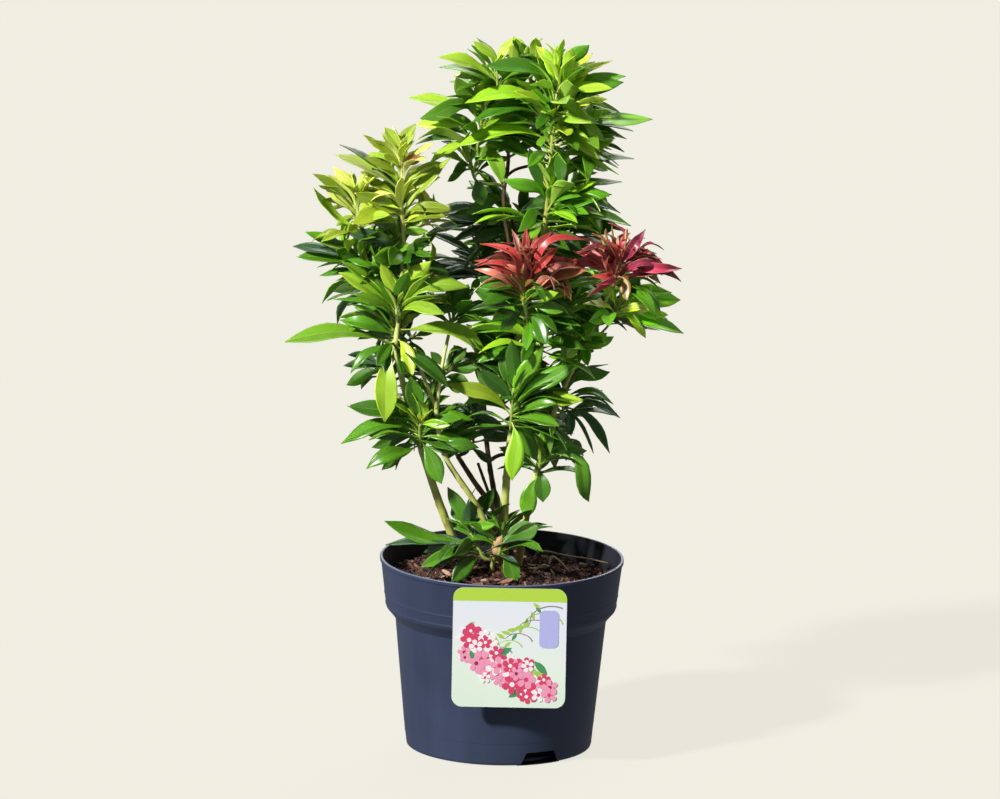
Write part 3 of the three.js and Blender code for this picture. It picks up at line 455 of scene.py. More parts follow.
# How many leaves the rule adds to a whorl, and their tints from apex to foot.
FILL = {
    "crown_leader": (48, "LLGLGMGM"), "crown_shoulder": (17, "LGMD"), "crown_left": (22, "LGMMD"),
    "crown_wing": (20, "LGMGD"), "crown_wing_low": (13, "GMMD"), "crown_hanger": (7, "GMD"),
    "crown_skirt": (30, "GMGDG"), "shade_left": (20, "DVSD"), "shade_centre": (20, "DVSV"),
    "red_left": (40, "RRwrRBwRroDV"), "red_collar": (14, "GMDVD"),
    "red_right": (31, "rmwRmrwmoDM"), "right_arm": (13, "GLMGM"),
    "right_inner": (18, "GMDM"), "heart_upper": (30, "MDVDG"), "heart_lower": (28, "DVMVD"),
    "drooping_right": (17, "DSVD"), "low_right": (16, "MDV"), "young_left": (28, "YyLYyLO"),
    "young_side": (20, "YyOLO"), "dark_left": (20, "GMMS"), "dark_centre": (20, "MDVD"),
    "bright_left": (32, "LGLMDV"), "low_left": (24, "GMDD"), "slate_centre": (12, "SVD"),
    "blue_left": (12, "SVD"), "gap_middle": (18, "DMDV"), "gap_lower": (18, "DMD"),
    "dark_tip": (12, "SDV"), "thin_tip": (12, "DSV"), "foot_left": (13, "DVS"), "foot_front": (7, "DVD"),
    "back_crown": (34, "LGMDV"), "back_skirt": (32, "GMDVD"), "back_arm": (30, "MDVSD"),
    "back_heart": (32, "GMDVD"), "back_middle": (30, "MDVD"), "back_low_right": (26, "MDSV"),
    "back_young": (28, "LyMDO"), "back_left": (30, "GMDVS"), "back_bright": (30, "GMDV"),
    "back_low_left": (26, "MDVS"), "back_shade": (26, "GMDV"), "back_foot": (16, "MDS"),
}

# Whorls whose leaves are a shade lighter or deeper than their tints; the lift is painted light for leaves that lie in
# shade, most of all on the right arm.
TONE = {
    "crown_leader": 1.13, "crown_skirt": 1.2, "crown_wing": 1.06, "bright_left": 1.06, "right_arm": 1.42, "right_inner": 1.32,
    "low_right": 1.12, "drooping_right": 1.12, "heart_upper": 1.14, "heart_lower": 1.08, "red_collar": 1.12, "red_left": 1.06,
    "red_right": 1.08, "dark_left": 1.06,
}

# How many short side shoots a whorl's shoot carries.
SIDE_SHOOTS = {
    "crown_leader": 3, "crown_left": 1, "crown_skirt": 2, "shade_left": 1, "shade_centre": 2, "red_left": 1, "red_right": 1,
    "right_arm": 1, "right_inner": 2, "heart_upper": 3, "heart_lower": 2, "young_left": 2, "young_side": 1, "dark_left": 1,
    "dark_centre": 2, "bright_left": 2, "low_left": 1, "back_crown": 2, "back_skirt": 2, "back_arm": 2, "back_heart": 2,
    "back_middle": 2, "back_low_right": 1, "back_young": 1, "back_left": 2, "back_bright": 2, "back_low_left": 1, "back_shade": 1,
}

REGIONS = {
    "crown": ["crown_leader", "crown_left", "crown_wing", "crown_wing_low", "crown_skirt", "back_crown", "back_skirt"],
    "centre": ["shade_left", "shade_centre", "heart_upper", "heart_lower", "slate_centre"],
    "centre_back": ["back_shade", "back_heart", "back_middle"],
    "red": ["red_left", "red_right"],
    "right": ["right_arm", "right_inner", "drooping_right", "low_right", "back_arm", "back_low_right"],
    "upper_left": ["young_left", "young_side", "dark_left", "dark_centre", "back_young", "back_left"],
    "lower_left": ["bright_left", "low_left", "blue_left", "back_bright", "back_low_left"],
    "foot": ["foot_left", "foot_front", "back_foot"],
}

# tints: upper side, under side, midrib, edge, as everyday colours
TINTS = {
    # L, G, M, D and V are one green from light to deep: partly the leaves' own colour, partly painted light and shade
    "L": ((154, 190, 50), (160, 188, 74), (196, 216, 108), None),
    "G": ((122, 170, 34), (130, 164, 62), (168, 198, 90), None),
    "M": ((92, 144, 26), (112, 150, 50), (142, 182, 66), None),
    "D": ((72, 124, 20), (90, 126, 46), (112, 152, 58), None),
    "V": ((54, 98, 18), (74, 110, 42), (84, 120, 46), None),
    # S: dark green with a bluish cast; the bluish cast is a painted sheen
    "S": ((64, 102, 60), (92, 122, 86), (118, 150, 104), None),
    "Y": ((184, 206, 66), (190, 206, 98), (220, 228, 126), None),
    "y": ((204, 218, 108), (206, 216, 132), (228, 232, 162), None),
    "O": ((148, 170, 38), (150, 160, 66), (190, 198, 92), (156, 176, 48)),
    "P": ((148, 184, 76), (162, 182, 98), (196, 210, 132), None),
    "R": ((146, 50, 50), (164, 84, 74), (196, 114, 98), (182, 92, 80)),
    "r": ((182, 106, 92), (190, 128, 108), (212, 166, 142), (206, 140, 122)),
    "m": ((160, 52, 78), (172, 86, 96), (206, 122, 126), (190, 92, 102)),
    "B": ((150, 98, 74), (172, 134, 104), (210, 178, 136), None),
    "o": ((122, 100, 48), (148, 126, 78), (172, 150, 94), None),
    "w": ((98, 36, 32), (126, 60, 52), (168, 90, 76), None),
    "q": ((98, 98, 78), (98, 98, 78), (108, 108, 84), None),
    "t": ((204, 172, 120), (204, 172, 120), (214, 188, 140), None),
}




# ------------------------------------------------------------------------------ curves and tubes
def through(points, n):
    """n points evenly spaced along the smooth curve through the given places."""
    p = np.array(points, float)
    p = np.vstack([2 * p[0] - p[1], p, 2 * p[-1] - p[-2]])
    out = []
    for i in range(1, len(p) - 2):
        d = [max(1e-4, np.linalg.norm(p[i + k] - p[i + k - 1])) ** 0.5 for k in (0, 1, 2)]
        t1 = (p[i] - p[i - 1]) / d[0] - (p[i + 1] - p[i - 1]) / (d[0] + d[1]) + (p[i + 1] - p[i]) / d[1]
        t2 = (p[i + 1] - p[i]) / d[1] - (p[i + 2] - p[i]) / (d[1] + d[2]) + (p[i + 2] - p[i + 1]) / d[2]
        t1, t2 = t1 * d[1], t2 * d[1]
        s = np.linspace(0, 1, 40, endpoint=i == len(p) - 3)[:, None]
        out.append(p[i] + t1 * s + (-3 * p[i] + 3 * p[i + 1] - 2 * t1 - t2) * s**2 + (2 * p[i] - 2 * p[i + 1] + t1 + t2) * s**3)
    q = np.vstack(out)
    run = np.concatenate([[0], np.cumsum(np.linalg.norm(np.diff(q, axis=0), axis=1))])
    at = np.linspace(0, run[-1], n)
    return np.stack([np.interp(at, run, q[:, k]) for k in range(3)], 1), run[-1]


def frames_along(c):
    """Tangents and two cross directions along a line of points, without twist."""
    t = np.gradient(c, axis=0)
    t /= np.linalg.norm(t, axis=1)[:, None]
    a = unit(np.cross(t[0], [0.31, 0.95, 0.05]))
    one = np.zeros_like(c)
    for i in range(len(c)):
        a = unit(a - t[i] * (a @ t[i]))
        one[i] = a
    return t, one, np.cross(t, one)


def tube(pile, centre, radius, sides, mats, relief=None):
    """A closed tube round a line; radius per ring, or per ring and side with relief."""
    t, a, b = frames_along(centre)
    th = np.arange(sides) * 2 * math.pi / sides
    r = np.asarray(radius, float)
    r = r[:, None] * np.ones(sides) if r.ndim == 1 else r
    if relief is not None:
        r = r + relief
    v = centre[:, None, :] + r[:, :, None] * (a[:, None, :] * np.cos(th)[None, :, None] + b[:, None, :] * np.sin(th)[None, :, None])
    n = len(centre)
    v = np.vstack([v.reshape(-1, 3), centre[0] - t[0] * 0.2, centre[-1] + t[-1] * r[-1].mean() * 0.7])
    q = grid_faces(n, sides, wrap=True)
    k = np.arange(sides)
    foot = np.stack([np.full(sides, n * sides), (k + 1) % sides, k], 1)
    top = np.stack([np.full(sides, n * sides + 1), (n - 1) * sides + k, (n - 1) * sides + (k + 1) % sides], 1)
    m = mats if not np.isscalar(mats) else np.full(len(q), mats)
    pile.add(v, (q, m, True), (foot, np.full(sides, m[0]), True), (top, np.full(sides, m[-1]), True))


def limb_radius(parent, foot, tip, t):
    return foot + (tip - foot) * t + (0.35 if parent else 0.9) * np.exp(-14 * t)


def bark(pile, name, parent, foot, tip, way, mat):
    """A limb with leaf scars wound up it, shallow furrows and swollen joints."""
    _, length = through(way, 8)
    n = max(12, int(length / (1.3)))
    centre, _ = through(way, n)
    sides = 14
    t = np.linspace(0, 1, n)
    r0 = limb_radius(parent, foot, tip, t)
    rng = rng_of(name)
    run = t * length
    th = np.arange(sides) * 2 * math.pi / sides
    relief = np.zeros((n, sides))
    at, k = rng.uniform(3, 8), 0
    while at < length:
        ang = k * GOLDEN + rng.normal(0, 0.2)
        da = np.angle(np.exp(1j * (th - ang)))
        up = run - at
        ledge = np.exp(-np.maximum(0, up) ** 2 / 0.9) * np.exp(-np.minimum(0, up) ** 2 / 9.0)
        relief += (0.16 * r0[:, None] * ledge[:, None]) * np.exp(-(da / 0.55) ** 2)[None, :]
        relief += 0.035 * r0[:, None] * np.exp(-(up / 2.6) ** 2)[:, None]
        at += rng.uniform(6, 13)
        k += 1
    p = np.stack([np.repeat(run / 9.0, sides), np.tile(np.cos(th) * 1.6, n), np.tile(np.sin(th) * 1.6, n)], 1)
    relief += (noise3(p, k).reshape(n, sides) - 0.5) * 0.2 * np.minimum(1, r0 / 2.5)[:, None]
    p2 = np.stack([np.repeat(run / 2.2, sides), np.tile(np.cos(th) * 5, n), np.tile(np.sin(th) * 5, n)], 1)
    relief += (noise3(p2, k + 9).reshape(n, sides) - 0.5) * 0.12
    tube(pile, centre, r0, sides, pile.mat(mat), relief)
    return centre, r0


# ------------------------------------------------------------------------------ leaves
STATIONS = np.array([0, 0.03, 0.07, 0.12, 0.19, 0.28, 0.38, 0.49, 0.6, 0.71, 0.81, 0.89, 0.95, 1.0])
ACROSS = {"plain": np.array([-1, -0.56, -0.06, 0.06, 0.56, 1]), "edged": np.array([-1, -0.86, -0.07, 0.07, 0.86, 1])}
_rows, _cols = len(STATIONS), 6
_top = grid_faces(_rows, _cols)
_under = grid_faces(_rows, _cols, flip=True) + _rows * _cols
_strip = np.tile(np.arange(_cols - 1), _rows - 1)
_row_of = np.repeat(np.arange(_rows - 1), _cols - 1)
_i = np.arange(_rows - 1)
_B = _rows * _cols
_left = np.stack([_i * _cols, (_i + 1) * _cols, _B + (_i + 1) * _cols, _B + _i * _cols], 1)
_right = np.stack([_i * _cols + 5, _B + _i * _cols + 5, _B + (_i + 1) * _cols + 5, (_i + 1) * _cols + 5], 1)
_j = np.arange(_cols - 1)
_foot = np.stack([_j, _B + _j, _B + _j + 1, _j + 1], 1)
_last = (_rows - 1) * _cols
_tip = np.stack([_last + _j, _last + _j + 1, _B + _last + _j + 1, _B + _last + _j], 1)


def leaf(pile, base, tip, face, width, bend, blade, under, rib, edge, stalk, rng, fold=0.3, twist=0.0, stalk_share=0.09, blunt=1.22, droop=0.0, lean=0.0, wave=0.05, hook=0.0):
    """A leaf from base to tip: face is the side its upper surface looks to, width its true width,
    bend the height of its arch as a share of its length."""
    c = tip - base
    length = np.linalg.norm(c)
    c = c / length
    n = unit(face - c * (face @ c))
    s = STATIONS
    side = np.cross(c, n)
    arch = np.sin(math.pi * s ** (0.95 + 2.5 * droop))
    sway = lean * (np.sin(math.pi * s) + 0.35 * np.sin(2 * math.pi * s))
    centre = base + c * (length * s)[:, None] + n * (bend * length * arch)[:, None] + side * (length * sway)[:, None]
    centre = centre - n * (hook * length * np.maximum(0, (s - 0.55) / 0.45) ** 2)[:, None]
    t = np.gradient(centre, s, axis=0)
    t /= np.linalg.norm(t, axis=1)[:, None]
    nn = n - t * (t @ n)[:, None]
    nn /= np.linalg.norm(nn, axis=1)[:, None]
    ss = np.cross(t, nn)
    tw = (twist * (s - 0.35))[:, None]
    nn, ss = nn * np.cos(tw) + ss * np.sin(tw), ss * np.cos(tw) - nn * np.sin(tw)
    b = np.clip((s - stalk_share) / (1 - stalk_share), 0, 1)
    w = 0.5 * width * np.maximum(0, np.sin(math.pi * b**blunt)) ** 0.86 * (1 - 0.25 * smooth(0.82, 1, b))
    phi = fold * (1.15 - 0.5 * s)
    w = np.maximum(w / np.cos(phi) ** 0.8, 0.62 * (1 - 0.8 * s))
    us = ACROSS["edged" if edge is not None else "plain"]
    centre = centre - nn * (0.4 * w * np.sin(phi))[:, None]
    ph = rng.uniform(0, 6.28, 2)
    ripple = np.stack([np.sin(s * 14 + ph[0]), np.sin(s * 12.5 + ph[1])], 1) * wave * w[:, None]
    au = np.abs(us)[None, :]
    rise = w[:, None] * (np.sin(phi)[:, None] * au - 0.17 * au**2)
    rise += np.where(us[None, :] < 0, ripple[:, :1], ripple[:, 1:]) * au**2
    rise -= 0.12 * (au < 0.2)
    v = centre[:, None, :] + ss[:, None, :] * (us[None, :] * w[:, None] * np.cos(phi)[:, None])[:, :, None] + nn[:, None, :] * rise[:, :, None]
    thick = 0.38 + (au < 0.2) * (0.75 * (1 - s)[:, None] ** 1.3) + (s < 0.1)[:, None] * 0.3
    low = v - nn[:, None, :] * thick[:, :, None]
    verts = np.vstack([v.reshape(-1, 3), low.reshape(-1, 3)])
    # the two halves' colours carry painted light and shade
    left, right = blade
    e1, e2 = blade if edge is None else (edge, edge)
    on_top = np.choose(_strip, [e1, left, rib, right, e2])
    below = np.where(_strip == 2, rib, under)
    stem = STATIONS[_row_of + 1] <= stalk_share + 0.055
    on_top = np.where(stem, stalk, on_top)
    below = np.where(stem, stalk, below)
    pile.add(verts, (_top, on_top, True), (_under, below, True),
             (_left, np.full(_rows - 1, e1), False), (_right, np.full(_rows - 1, e2), False),
             (_foot, np.full(5, stalk), False), (_tip, np.full(5, e1), False))


# ------------------------------------------------------------------------------ growing the plant
green_bark, nt, sh = tree_of("bark_green")
co = nt.nodes.new("ShaderNodeTexCoord")
sep = nt.nodes.new("ShaderNodeSeparateXYZ")
nt.links.new(co.outputs["Object"], sep.inputs["Vector"])
n1 = noise_node(nt, 260, 4, 0.6, (1, 1, 0.22))
up = spread(nt, sep.outputs["Z"], 0.0, 1.0, 0.135, 0.235)
high = spread(nt, sep.outputs["Z"], 0.0, -0.42, 0.33, 0.42)
mix = nt.nodes.new("ShaderNodeMath"); mix.operation = "ADD"
nt.links.new(up, mix.inputs[0]); nt.links.new(high, mix.inputs[1])
add = nt.nodes.new("ShaderNodeMath"); add.operation = "ADD"
nt.links.new(mix.outputs[0], add.inputs[0]); nt.links.new(spread(nt, n1.outputs["Fac"], -0.4, 0.35), add.inputs[1])
nt.links.new(ramp(nt, add.outputs[0], [(0.0, srgb(142, 124, 64)), (0.35, srgb(174, 172, 86)), (0.75, srgb(192, 200, 100)), (1.0, srgb(204, 212, 128))]), sh.inputs["Base Color"])
nt.links.new(spread(nt, n1.outputs["Fac"], 0.42, 0.62), sh.inputs["Roughness"])
bump(nt, sh, n1.outputs["Fac"], 0.25, 0.0004)

brown_bark, nt, sh = tree_of("bark_brown")
n1 = noise_node(nt, 320, 4, 0.65, (1, 1, 0.2))
nt.links.new(ramp(nt, n1.outputs["Fac"], [(0.3, srgb(38, 28, 18)), (0.5, srgb(84, 64, 40)), (0.72, srgb(126, 104, 66))]), sh.inputs["Base Color"])
sh.inputs["Roughness"].default_value = 0.7
bump(nt, sh, n1.outputs["Fac"], 0.4, 0.0005)

limb_lines = []          # sampled axes that twigs and leaves can grow from
green_pile, brown_pile, twig_pile = Pile("stems_green"), Pile("stems_brown"), Pile("twigs")
for name, parent, foot, tip, kind, way in LIMBS:
    c, r = bark(green_pile if kind == "green" else brown_pile, name, parent, foot, tip, way, green_bark if kind == "green" else brown_bark)
    limb_lines.append((name, c, r))

twig_tints = {
    "green": leaf_material("twig", (150, 168, 70), 0.45), "pale": leaf_material("twig", (216, 218, 146), 0.45),
    "brown": leaf_material("twig", (84, 66, 40), 0.6), "red": leaf_material("twig", (176, 96, 70), 0.45),
    "bud": leaf_material("twig", (168, 176, 84), 0.4),
}


def twig_tint(name):
    if "red" in name:
        return "red"
    if name.startswith(("crown_leader", "young", "bright", "crown_shoulder")):
        return "pale"
    return "brown" if name.startswith(("back", "shade", "slate")) else "green"


axis_points = np.vstack([c for _, c, _ in limb_lines])
axis_radius = np.concatenate([r for _, _, r in limb_lines])


def grow_axis(w):
    """The leafy shoot of a whorl: from the nearest limb below it, up its own axis to the bud."""
    global axis_points, axis_radius
    name, _, A, B = w[0], w[1], np.array(w[2], float), np.array(w[3], float)
    rng = rng_of("axis", name)
    d = np.linalg.norm(axis_points - B, axis=1)
    cost = d + 0.9 * np.maximum(0, axis_points[:, 2] - (B[2] - 0.3 * d))
    i = int(np.argmin(cost))
    P, r0 = axis_points[i], axis_radius[i]
    # a limb that already runs up the whorl's axis carries it; only its end is added
    seg = A - B
    tt = np.clip(((axis_points - B) @ seg) / (seg @ seg), 0, 1)
    off = np.linalg.norm(axis_points - (B + tt[:, None] * seg), axis=1)
    along = np.where(off < 7, tt, -1)
    j = int(np.argmax(along))
    if along[j] > 0.15:
        P, r0 = axis_points[j], axis_radius[j]
        way = [P, 0.5 * (P + A) + rng.normal(0, 0.5, 3), A] if np.linalg.norm(P - A) > 4 else None
    else:
        gap = np.linalg.norm(B - P)
        k = max(1, min(i, len(axis_points) - 2))
        run = unit(axis_points[k] - axis_points[k - 1])
        out = unit(unit(B - P) + (0.7 * run if run @ (B - P) > 0 else 0))
        turn = B - unit(A - B) * gap * 0.33
        u = np.linspace(0, 1, 7)[:, None]
        curve = (1 - u) ** 3 * P + 3 * u * (1 - u) ** 2 * (P + out * gap * 0.33) + 3 * u**2 * (1 - u) * turn + u**3 * B
        way = [*curve, A]
    if way is None:
        return
    n = max(8, int(np.linalg.norm(A - P) / 2.5))
    c, length = through(way, n)
    r = np.linspace(min(r0 * 0.85, 1.7), 1.0, n)
    bumps = 0.12 * (noise3(np.stack([np.arange(n) * 0.9, np.zeros(n), np.full(n, len(axis_points) % 97)], 1), 3) - 0.3)
    tube(twig_pile, c, r + bumps, 7, twig_pile.mat(twig_tints[twig_tint(name)]))
    axis_points = np.vstack([axis_points, c[1:]])
    axis_radius = np.concatenate([axis_radius, r[1:]])


for w in WHORLS:
    grow_axis(w)

SIGHT = np.array([0, -math.cos(SIGHT_RISE), math.sin(SIGHT_RISE)])
LOW = np.array(CAD_BOX[0]) / MM
HIGH = np.array(CAD_BOX[1]) / MM
pockets = np.array([gap for place in OPEN.values() for gap in place], float)


def clear_of_sky(base, tip, wide=0.0):
    """Whether a leaf of this width keeps out of every pocket of open sky."""
    s = np.array([0.25, 0.4, 0.55, 0.7, 0.85, 1.0])[:, None]
    p = base + (tip - base) * s
    x, z = p[:, 0], p[:, 2] + (p[:, 1] - 5) * math.tan(SIGHT_RISE)
    d = np.hypot(x[:, None] - pockets[None, :, 0], z[:, None] - pockets[None, :, 1])
    return bool((d > pockets[None, :, 2] - 0.5 + 0.36 * wide * np.sin(math.pi * s**1.3)).all())


def soil_top(x, y):
    heap = 4.0 * np.exp(-(((x + 50) / 36.0) ** 2 + ((y - 45) / 36.0) ** 2))
    return 131 + 7.5 * np.exp(-(x * x + y * y) / 44.0**2) + heap + 0.9 * np.sin(x / 11) * np.cos(y / 9)


def inside_room(tip):
    ok = (tip > LOW - 1).all() and (tip < HIGH + 1).all()
    r = math.hypot(tip[0], tip[1])
    if r < 94:
        ok = ok and tip[2] > soil_top(tip[0], tip[1]) + 2
    else:
        ok = ok and (tip[2] > 156)
    return ok


def shade(colour, k, warm=0.0):
    r, g, b = (min(255.0, c * k) for c in colour)
    return (min(255, r * (1 + warm)), g, b * (1 - warm))


def tints(pile, code, rng, tone, lead=False):
    top, under, rib, edge = TINTS[code]
    v = int(rng.integers(0, 3))
    k, warm = ((0.9, -0.03), (1.04, 0.0), (1.16, 0.03))[v]
    rough = 0.36 if code in "LGYyrRmwB" else 0.3
    coat = 0.0 if code in "rRmwBYy" else 0.25
    if edge is None and code in "LGMDV" and rng.random() < 0.45:
        edge = shade(top, k * 1.14, 0.03)
    # one half of a blade is a little deeper than the other: painted shade on one half and painted light on the other,
    # as where a folded leaf turns from the light
    half = [1.04, 0.95] if rng.random() < 0.5 else [0.95, 1.04]
    blade = [pile.mat(leaf_material("leaf_" + code, shade(top, k * tone * h, warm), rough, 0.5, coat)) for h in half]
    low = pile.mat(leaf_material("under_" + code, shade(top if lead else under, (1.04 if lead else 1.0) * tone, 0.02), 0.5))
    mid = pile.mat(leaf_material("rib_" + code, tuple(0.6 * a + 0.4 * b for a, b in zip(shade(top, k, warm), rib)), 0.42))
    out = None if edge is None else pile.mat(leaf_material("edge_" + code, edge, 0.42))
    stalk = {"R": (176, 96, 80), "w": (150, 80, 66), "q": (104, 98, 78), "r": (214, 140, 110), "m": (176, 90, 84)}.get(code, tuple(0.5 * (a + b) for a, b in zip(rib, (196, 204, 120)))) if code not in "VDS" else tuple(0.6 * a + 0.4 * b for a, b in zip(rib, (150, 160, 80)))
    return blade, low, mid, out, pile.mat(leaf_material("stalk_" + code, stalk, 0.45))


def snap(p):
    d = np.linalg.norm(axis_points - p, axis=1)
    i = int(np.argmin(d))
    return (axis_points[i], axis_radius[i]) if d[i] < 12 else (p, 0.6)


def grow(pile, w, leaves_made):
    name, mass, A, B, size, lead = w[0], w[1], np.array(w[2], float), np.array(w[3], float), w[4], w[5]
    axis = unit(A - B)
    rng = rng_of("whorl", name)
    tone = TONE.get(name, 1.0)
    for t, az, el, length, shown, bend, code, *late in lead:
        base0 = A + (B - A) * t
        tip = base0 + length * toward(az, el)
        base, r = snap(base0)
        c = tip - base
        length = np.linalg.norm(c)
        c /= length
        width = shown if code in "tq" else max(shown, (0.17 if code in "rRmw" else 0.25) * length)
        width = min(width, 19)
        vp = unit(SIGHT - c * (SIGHT @ c))
        s = np.cross(c, vp)
        cb = min(1.0, max(0.25, shown / width))
        sb = math.sqrt(1 - cb * cb)
        up = unit(axis - c * (axis @ c) + np.array([0, 0, 0.05]))
        face = max((unit(a * cb * vp + b * sb * s) for a in (1, -1) for b in (1, -1)), key=lambda q: q @ up)
        blade, low, mid, out, stalk = tints(pile, code, rng, tone, lead=True)
        curly = code in "rRmwt"
        bend *= 1.5 if curly else 0.95 if "crown" in name else 0.85
        # the arch shows from the label side whichever way the blade is turned
        over = s if s @ up > 0 else -s
        across = np.cross(c, face) @ over
        lean = bend * (1 - abs(face @ s)) * float(np.sign(across)) if abs(across) > 0.25 and not curly else 0.0
        leaf(pile, base + c * r * 0.4, tip, face, width, bend + 0.04 if curly else bend, blade, low, mid, out, stalk, rng,
             fold=rng.uniform(0.55, 1.0) if curly else rng.uniform(0.3, 0.66), twist=rng.normal(0, 0.8 if curly else 0.3),
             droop=late[0] if late else rng.uniform(0.1, 0.35) if curly else rng.uniform(-0.06, 0.14), lean=lean + rng.normal(0, 0.05 if curly else 0.015),
             wave=0.2 if curly else 0.12 if code in "YyOL" else 0.05, hook=rng.uniform(0.06, 0.22) if curly and code != "t" else 0.0)
        leaves_made.append(name)
    if name not in FILL:
        return
    count, codes = FILL[name]
    whorl(pile, name, A, B, size, count, codes, rng, leaves_made)
    # short side shoots carry whorls of their own
    turn = rng.uniform(0, 6.28)
    e1 = unit(np.cross(axis, [0.2, 1, 0.1]))
    e2 = np.cross(axis, e1)
    for k in range(SIDE_SHOOTS.get(name, 0)):
        for go in range(14):
            az = turn + (k + go * 0.37) * GOLDEN
            th = math.radians(rng.uniform(42, 74))
            d = axis * math.cos(th) + (e1 * math.cos(az) + e2 * math.sin(az)) * math.sin(th)
            base, r = snap(A + (B - A) * rng.uniform(0.35, 1.15))
            end = base + d * size * rng.uniform(0.3, 0.5)
            small = size * rng.uniform(0.62, 0.8)
            if (name.startswith("back") or d @ SIGHT < 0.45) and clear_of_sky(base, end + d * small * 0.6) and inside_room(end + d * small * 0.5):
                break
        else:
            continue
        c, _ = through([base, 0.5 * (base + end) - axis * 1.5, end], 7)
        tube(twig_pile, c, np.linspace(min(1.2, r * 0.8), 0.8, 7), 6, twig_pile.mat(twig_tints[twig_tint(name)]))
        whorl(pile, name, end, c[3], small, 11, codes, rng, leaves_made)


def whorl(pile, name, A, B, size, count, codes, rng, leaves_made):
    """count leaves round the shoot from A down to B, each a golden angle on from the last, and the bud at A."""
    axis = unit(A - B)
    back, red, young_shoot = name.startswith("back"), name.startswith("red"), name.startswith("young")
    e1 = unit(np.cross(axis, [0.2, 1, 0.1]))
    e2 = np.cross(axis, e1)
    turn = rng.uniform(0, 6.28)
    for i in range(count):
        t = ((i + 0.5) / count) ** 0.85
        code = codes[int(np.clip(t * len(codes) + rng.normal(0, 0.6), 0, len(codes) - 1))]
        curly = red and code in "rRmwBo"
        wide = 60 if curly else 70 if young_shoot else 66 if "crown" in name else 84
        for go in range(12):
            az = turn + i * GOLDEN + go * 1.1 + rng.normal(0, 0.16)
            th = math.radians(17 + wide * t**0.75 + rng.uniform(-12, 12) + go * 2)
            length = size * (0.54 + 0.46 * t**0.5) * rng.uniform(0.78, 1.06) * (1 - 0.035 * go)
            d = axis * math.cos(th) + (e1 * math.cos(az) + e2 * math.sin(az)) * math.sin(th)
            if not back and d @ SIGHT > ((0.86, 0.66) if "crown" in name else (0.8, 0.45))[i % 2 == 0] and go < 9:
                continue
            if not back and d @ SIGHT < -0.72 and go < 9:
                continue
            base, r = snap(A + (B - A) * t)
            tip = base + d * length
            length *= 0.9 if curly else 1
            slim = rng.uniform(0.15, 0.22) if curly else rng.uniform(0.24, 0.3)
            if clear_of_sky(base, tip, length * slim) and inside_room(tip):
                break
        else:
            continue
        up = unit(axis - d * (axis @ d) + np.array([0, 0, 0.15]))
        roll = rng.normal(0, 0.42)
        face = up * math.cos(roll) + np.cross(d, up) * math.sin(roll)
        blade, low, mid, out, stalk = tints(pile, code, rng, TONE.get(name, 1.0))
        leaf(pile, base + d * r * 0.4, tip, face, length * slim, rng.uniform(0.1, 0.34) if curly else rng.uniform(0.05, 0.22), blade, low, mid, out, stalk,
             rng, fold=rng.uniform(0.55, 1.05) if curly else rng.uniform(0.28, 0.7), twist=rng.normal(0, 0.9 if curly else 0.38),
             stalk_share=0.15 if "crown" in name else 0.12, droop=rng.uniform(0, 0.4) if curly else rng.uniform(-0.08, 0.28), lean=rng.normal(0, 0.08 if curly else 0.045), wave=0.2 if curly else 0.1 if young_shoot else 0.06,
             hook=rng.uniform(0.06, 0.26) if curly else 0.0)
        leaves_made.append(name)
    # the youngest leaves stand close round the bud
    young = {"R": "r", "r": "r"}.get(codes[0], "Y" if codes[0] in "LGYy" else codes[0])
    for i in range(5):
        az, th = turn + i * GOLDEN, math.radians(10 + 7 * i)
        d = axis * math.cos(th) + (e1 * math.cos(az) + e2 * math.sin(az)) * math.sin(th)
        length = size * (0.16 + 0.05 * i)
        tip = A + d * length
        if not (clear_of_sky(A, tip) and inside_room(tip)):
            continue
        face = unit(axis - d * (axis @ d))
        blade, low, mid, out, stalk = tints(pile, young, rng, 1.0)
        leaf(pile, A - axis * 1.5, tip, face, length * 0.3, 0.05, blade, low, mid, out, stalk, rng, fold=0.5)
        leaves_made.append(name)


made = []
region_of = {m: r for r, ms in REGIONS.items() for m in ms}
leaf_piles = {r: Pile("leaves_" + r) for r in REGIONS}
for w in WHORLS:
    grow(leaf_piles[region_of[w[1]]], w, made)
for r, pile in leaf_piles.items():
    settle(pile.build(), {"red": "leaf_red"}.get(r, "leaf_green"), *REGIONS[r])
settle(green_pile.build(), "stem_green", *[l[0] for l in LIMBS if l[4] == "green"])
settle(brown_pile.build(), "stem_brown", *[l[0] for l in LIMBS if l[4] == "brown"])
print("leaves", len(made), "triangles", {p.name: sum(f.shape[0] * (f.shape[1] - 2) for f, _, _ in p.faces) for p in [*leaf_piles.values(), green_pile, brown_pile, twig_pile]})


# ------------------------------------------------------------------------------ pot
def lathe_mesh(name, profile, sides, material):
    """A closed turned body. The profile (radius, height) runs round and joins on itself, or starts and ends on the axis."""
    p = np.array(profile, float)
    pile = Pile(name)
    mat = pile.mat(material)
    th = np.arange(sides) * 2 * math.pi / sides
    axis_first, axis_last = p[0, 0] < 1e-6, p[-1, 0] < 1e-6
    body = p[1 if axis_first else 0: -1 if axis_last else len(p)]
    v = np.stack([body[:, 0, None] * np.cos(th), body[:, 0, None] * np.sin(th), np.repeat(body[:, 1, None], sides, 1)], -1).reshape(-1, 3)
    q = grid_faces(len(body), sides, wrap=True, flip=True)
    k = np.arange(sides)
    n = len(v)
    v = np.vstack([v, [0, 0, p[0, 1]], [0, 0, p[-1, 1]]])
    first = np.stack([np.full(sides, n), (k + 1) % sides, k], 1)[:, ::-1]
    last = np.stack([np.full(sides, n + 1), (len(body) - 1) * sides + k, (len(body) - 1) * sides + (k + 1) % sides], 1)[:, ::-1]
    first, last = first[:, ::-1], last[:, ::-1]
    q = q[:, ::-1]
    pile.add(v, (q, np.full(len(q), mat), True), (first, np.full(sides, mat), True), (last, np.full(sides, mat), True))
    return pile


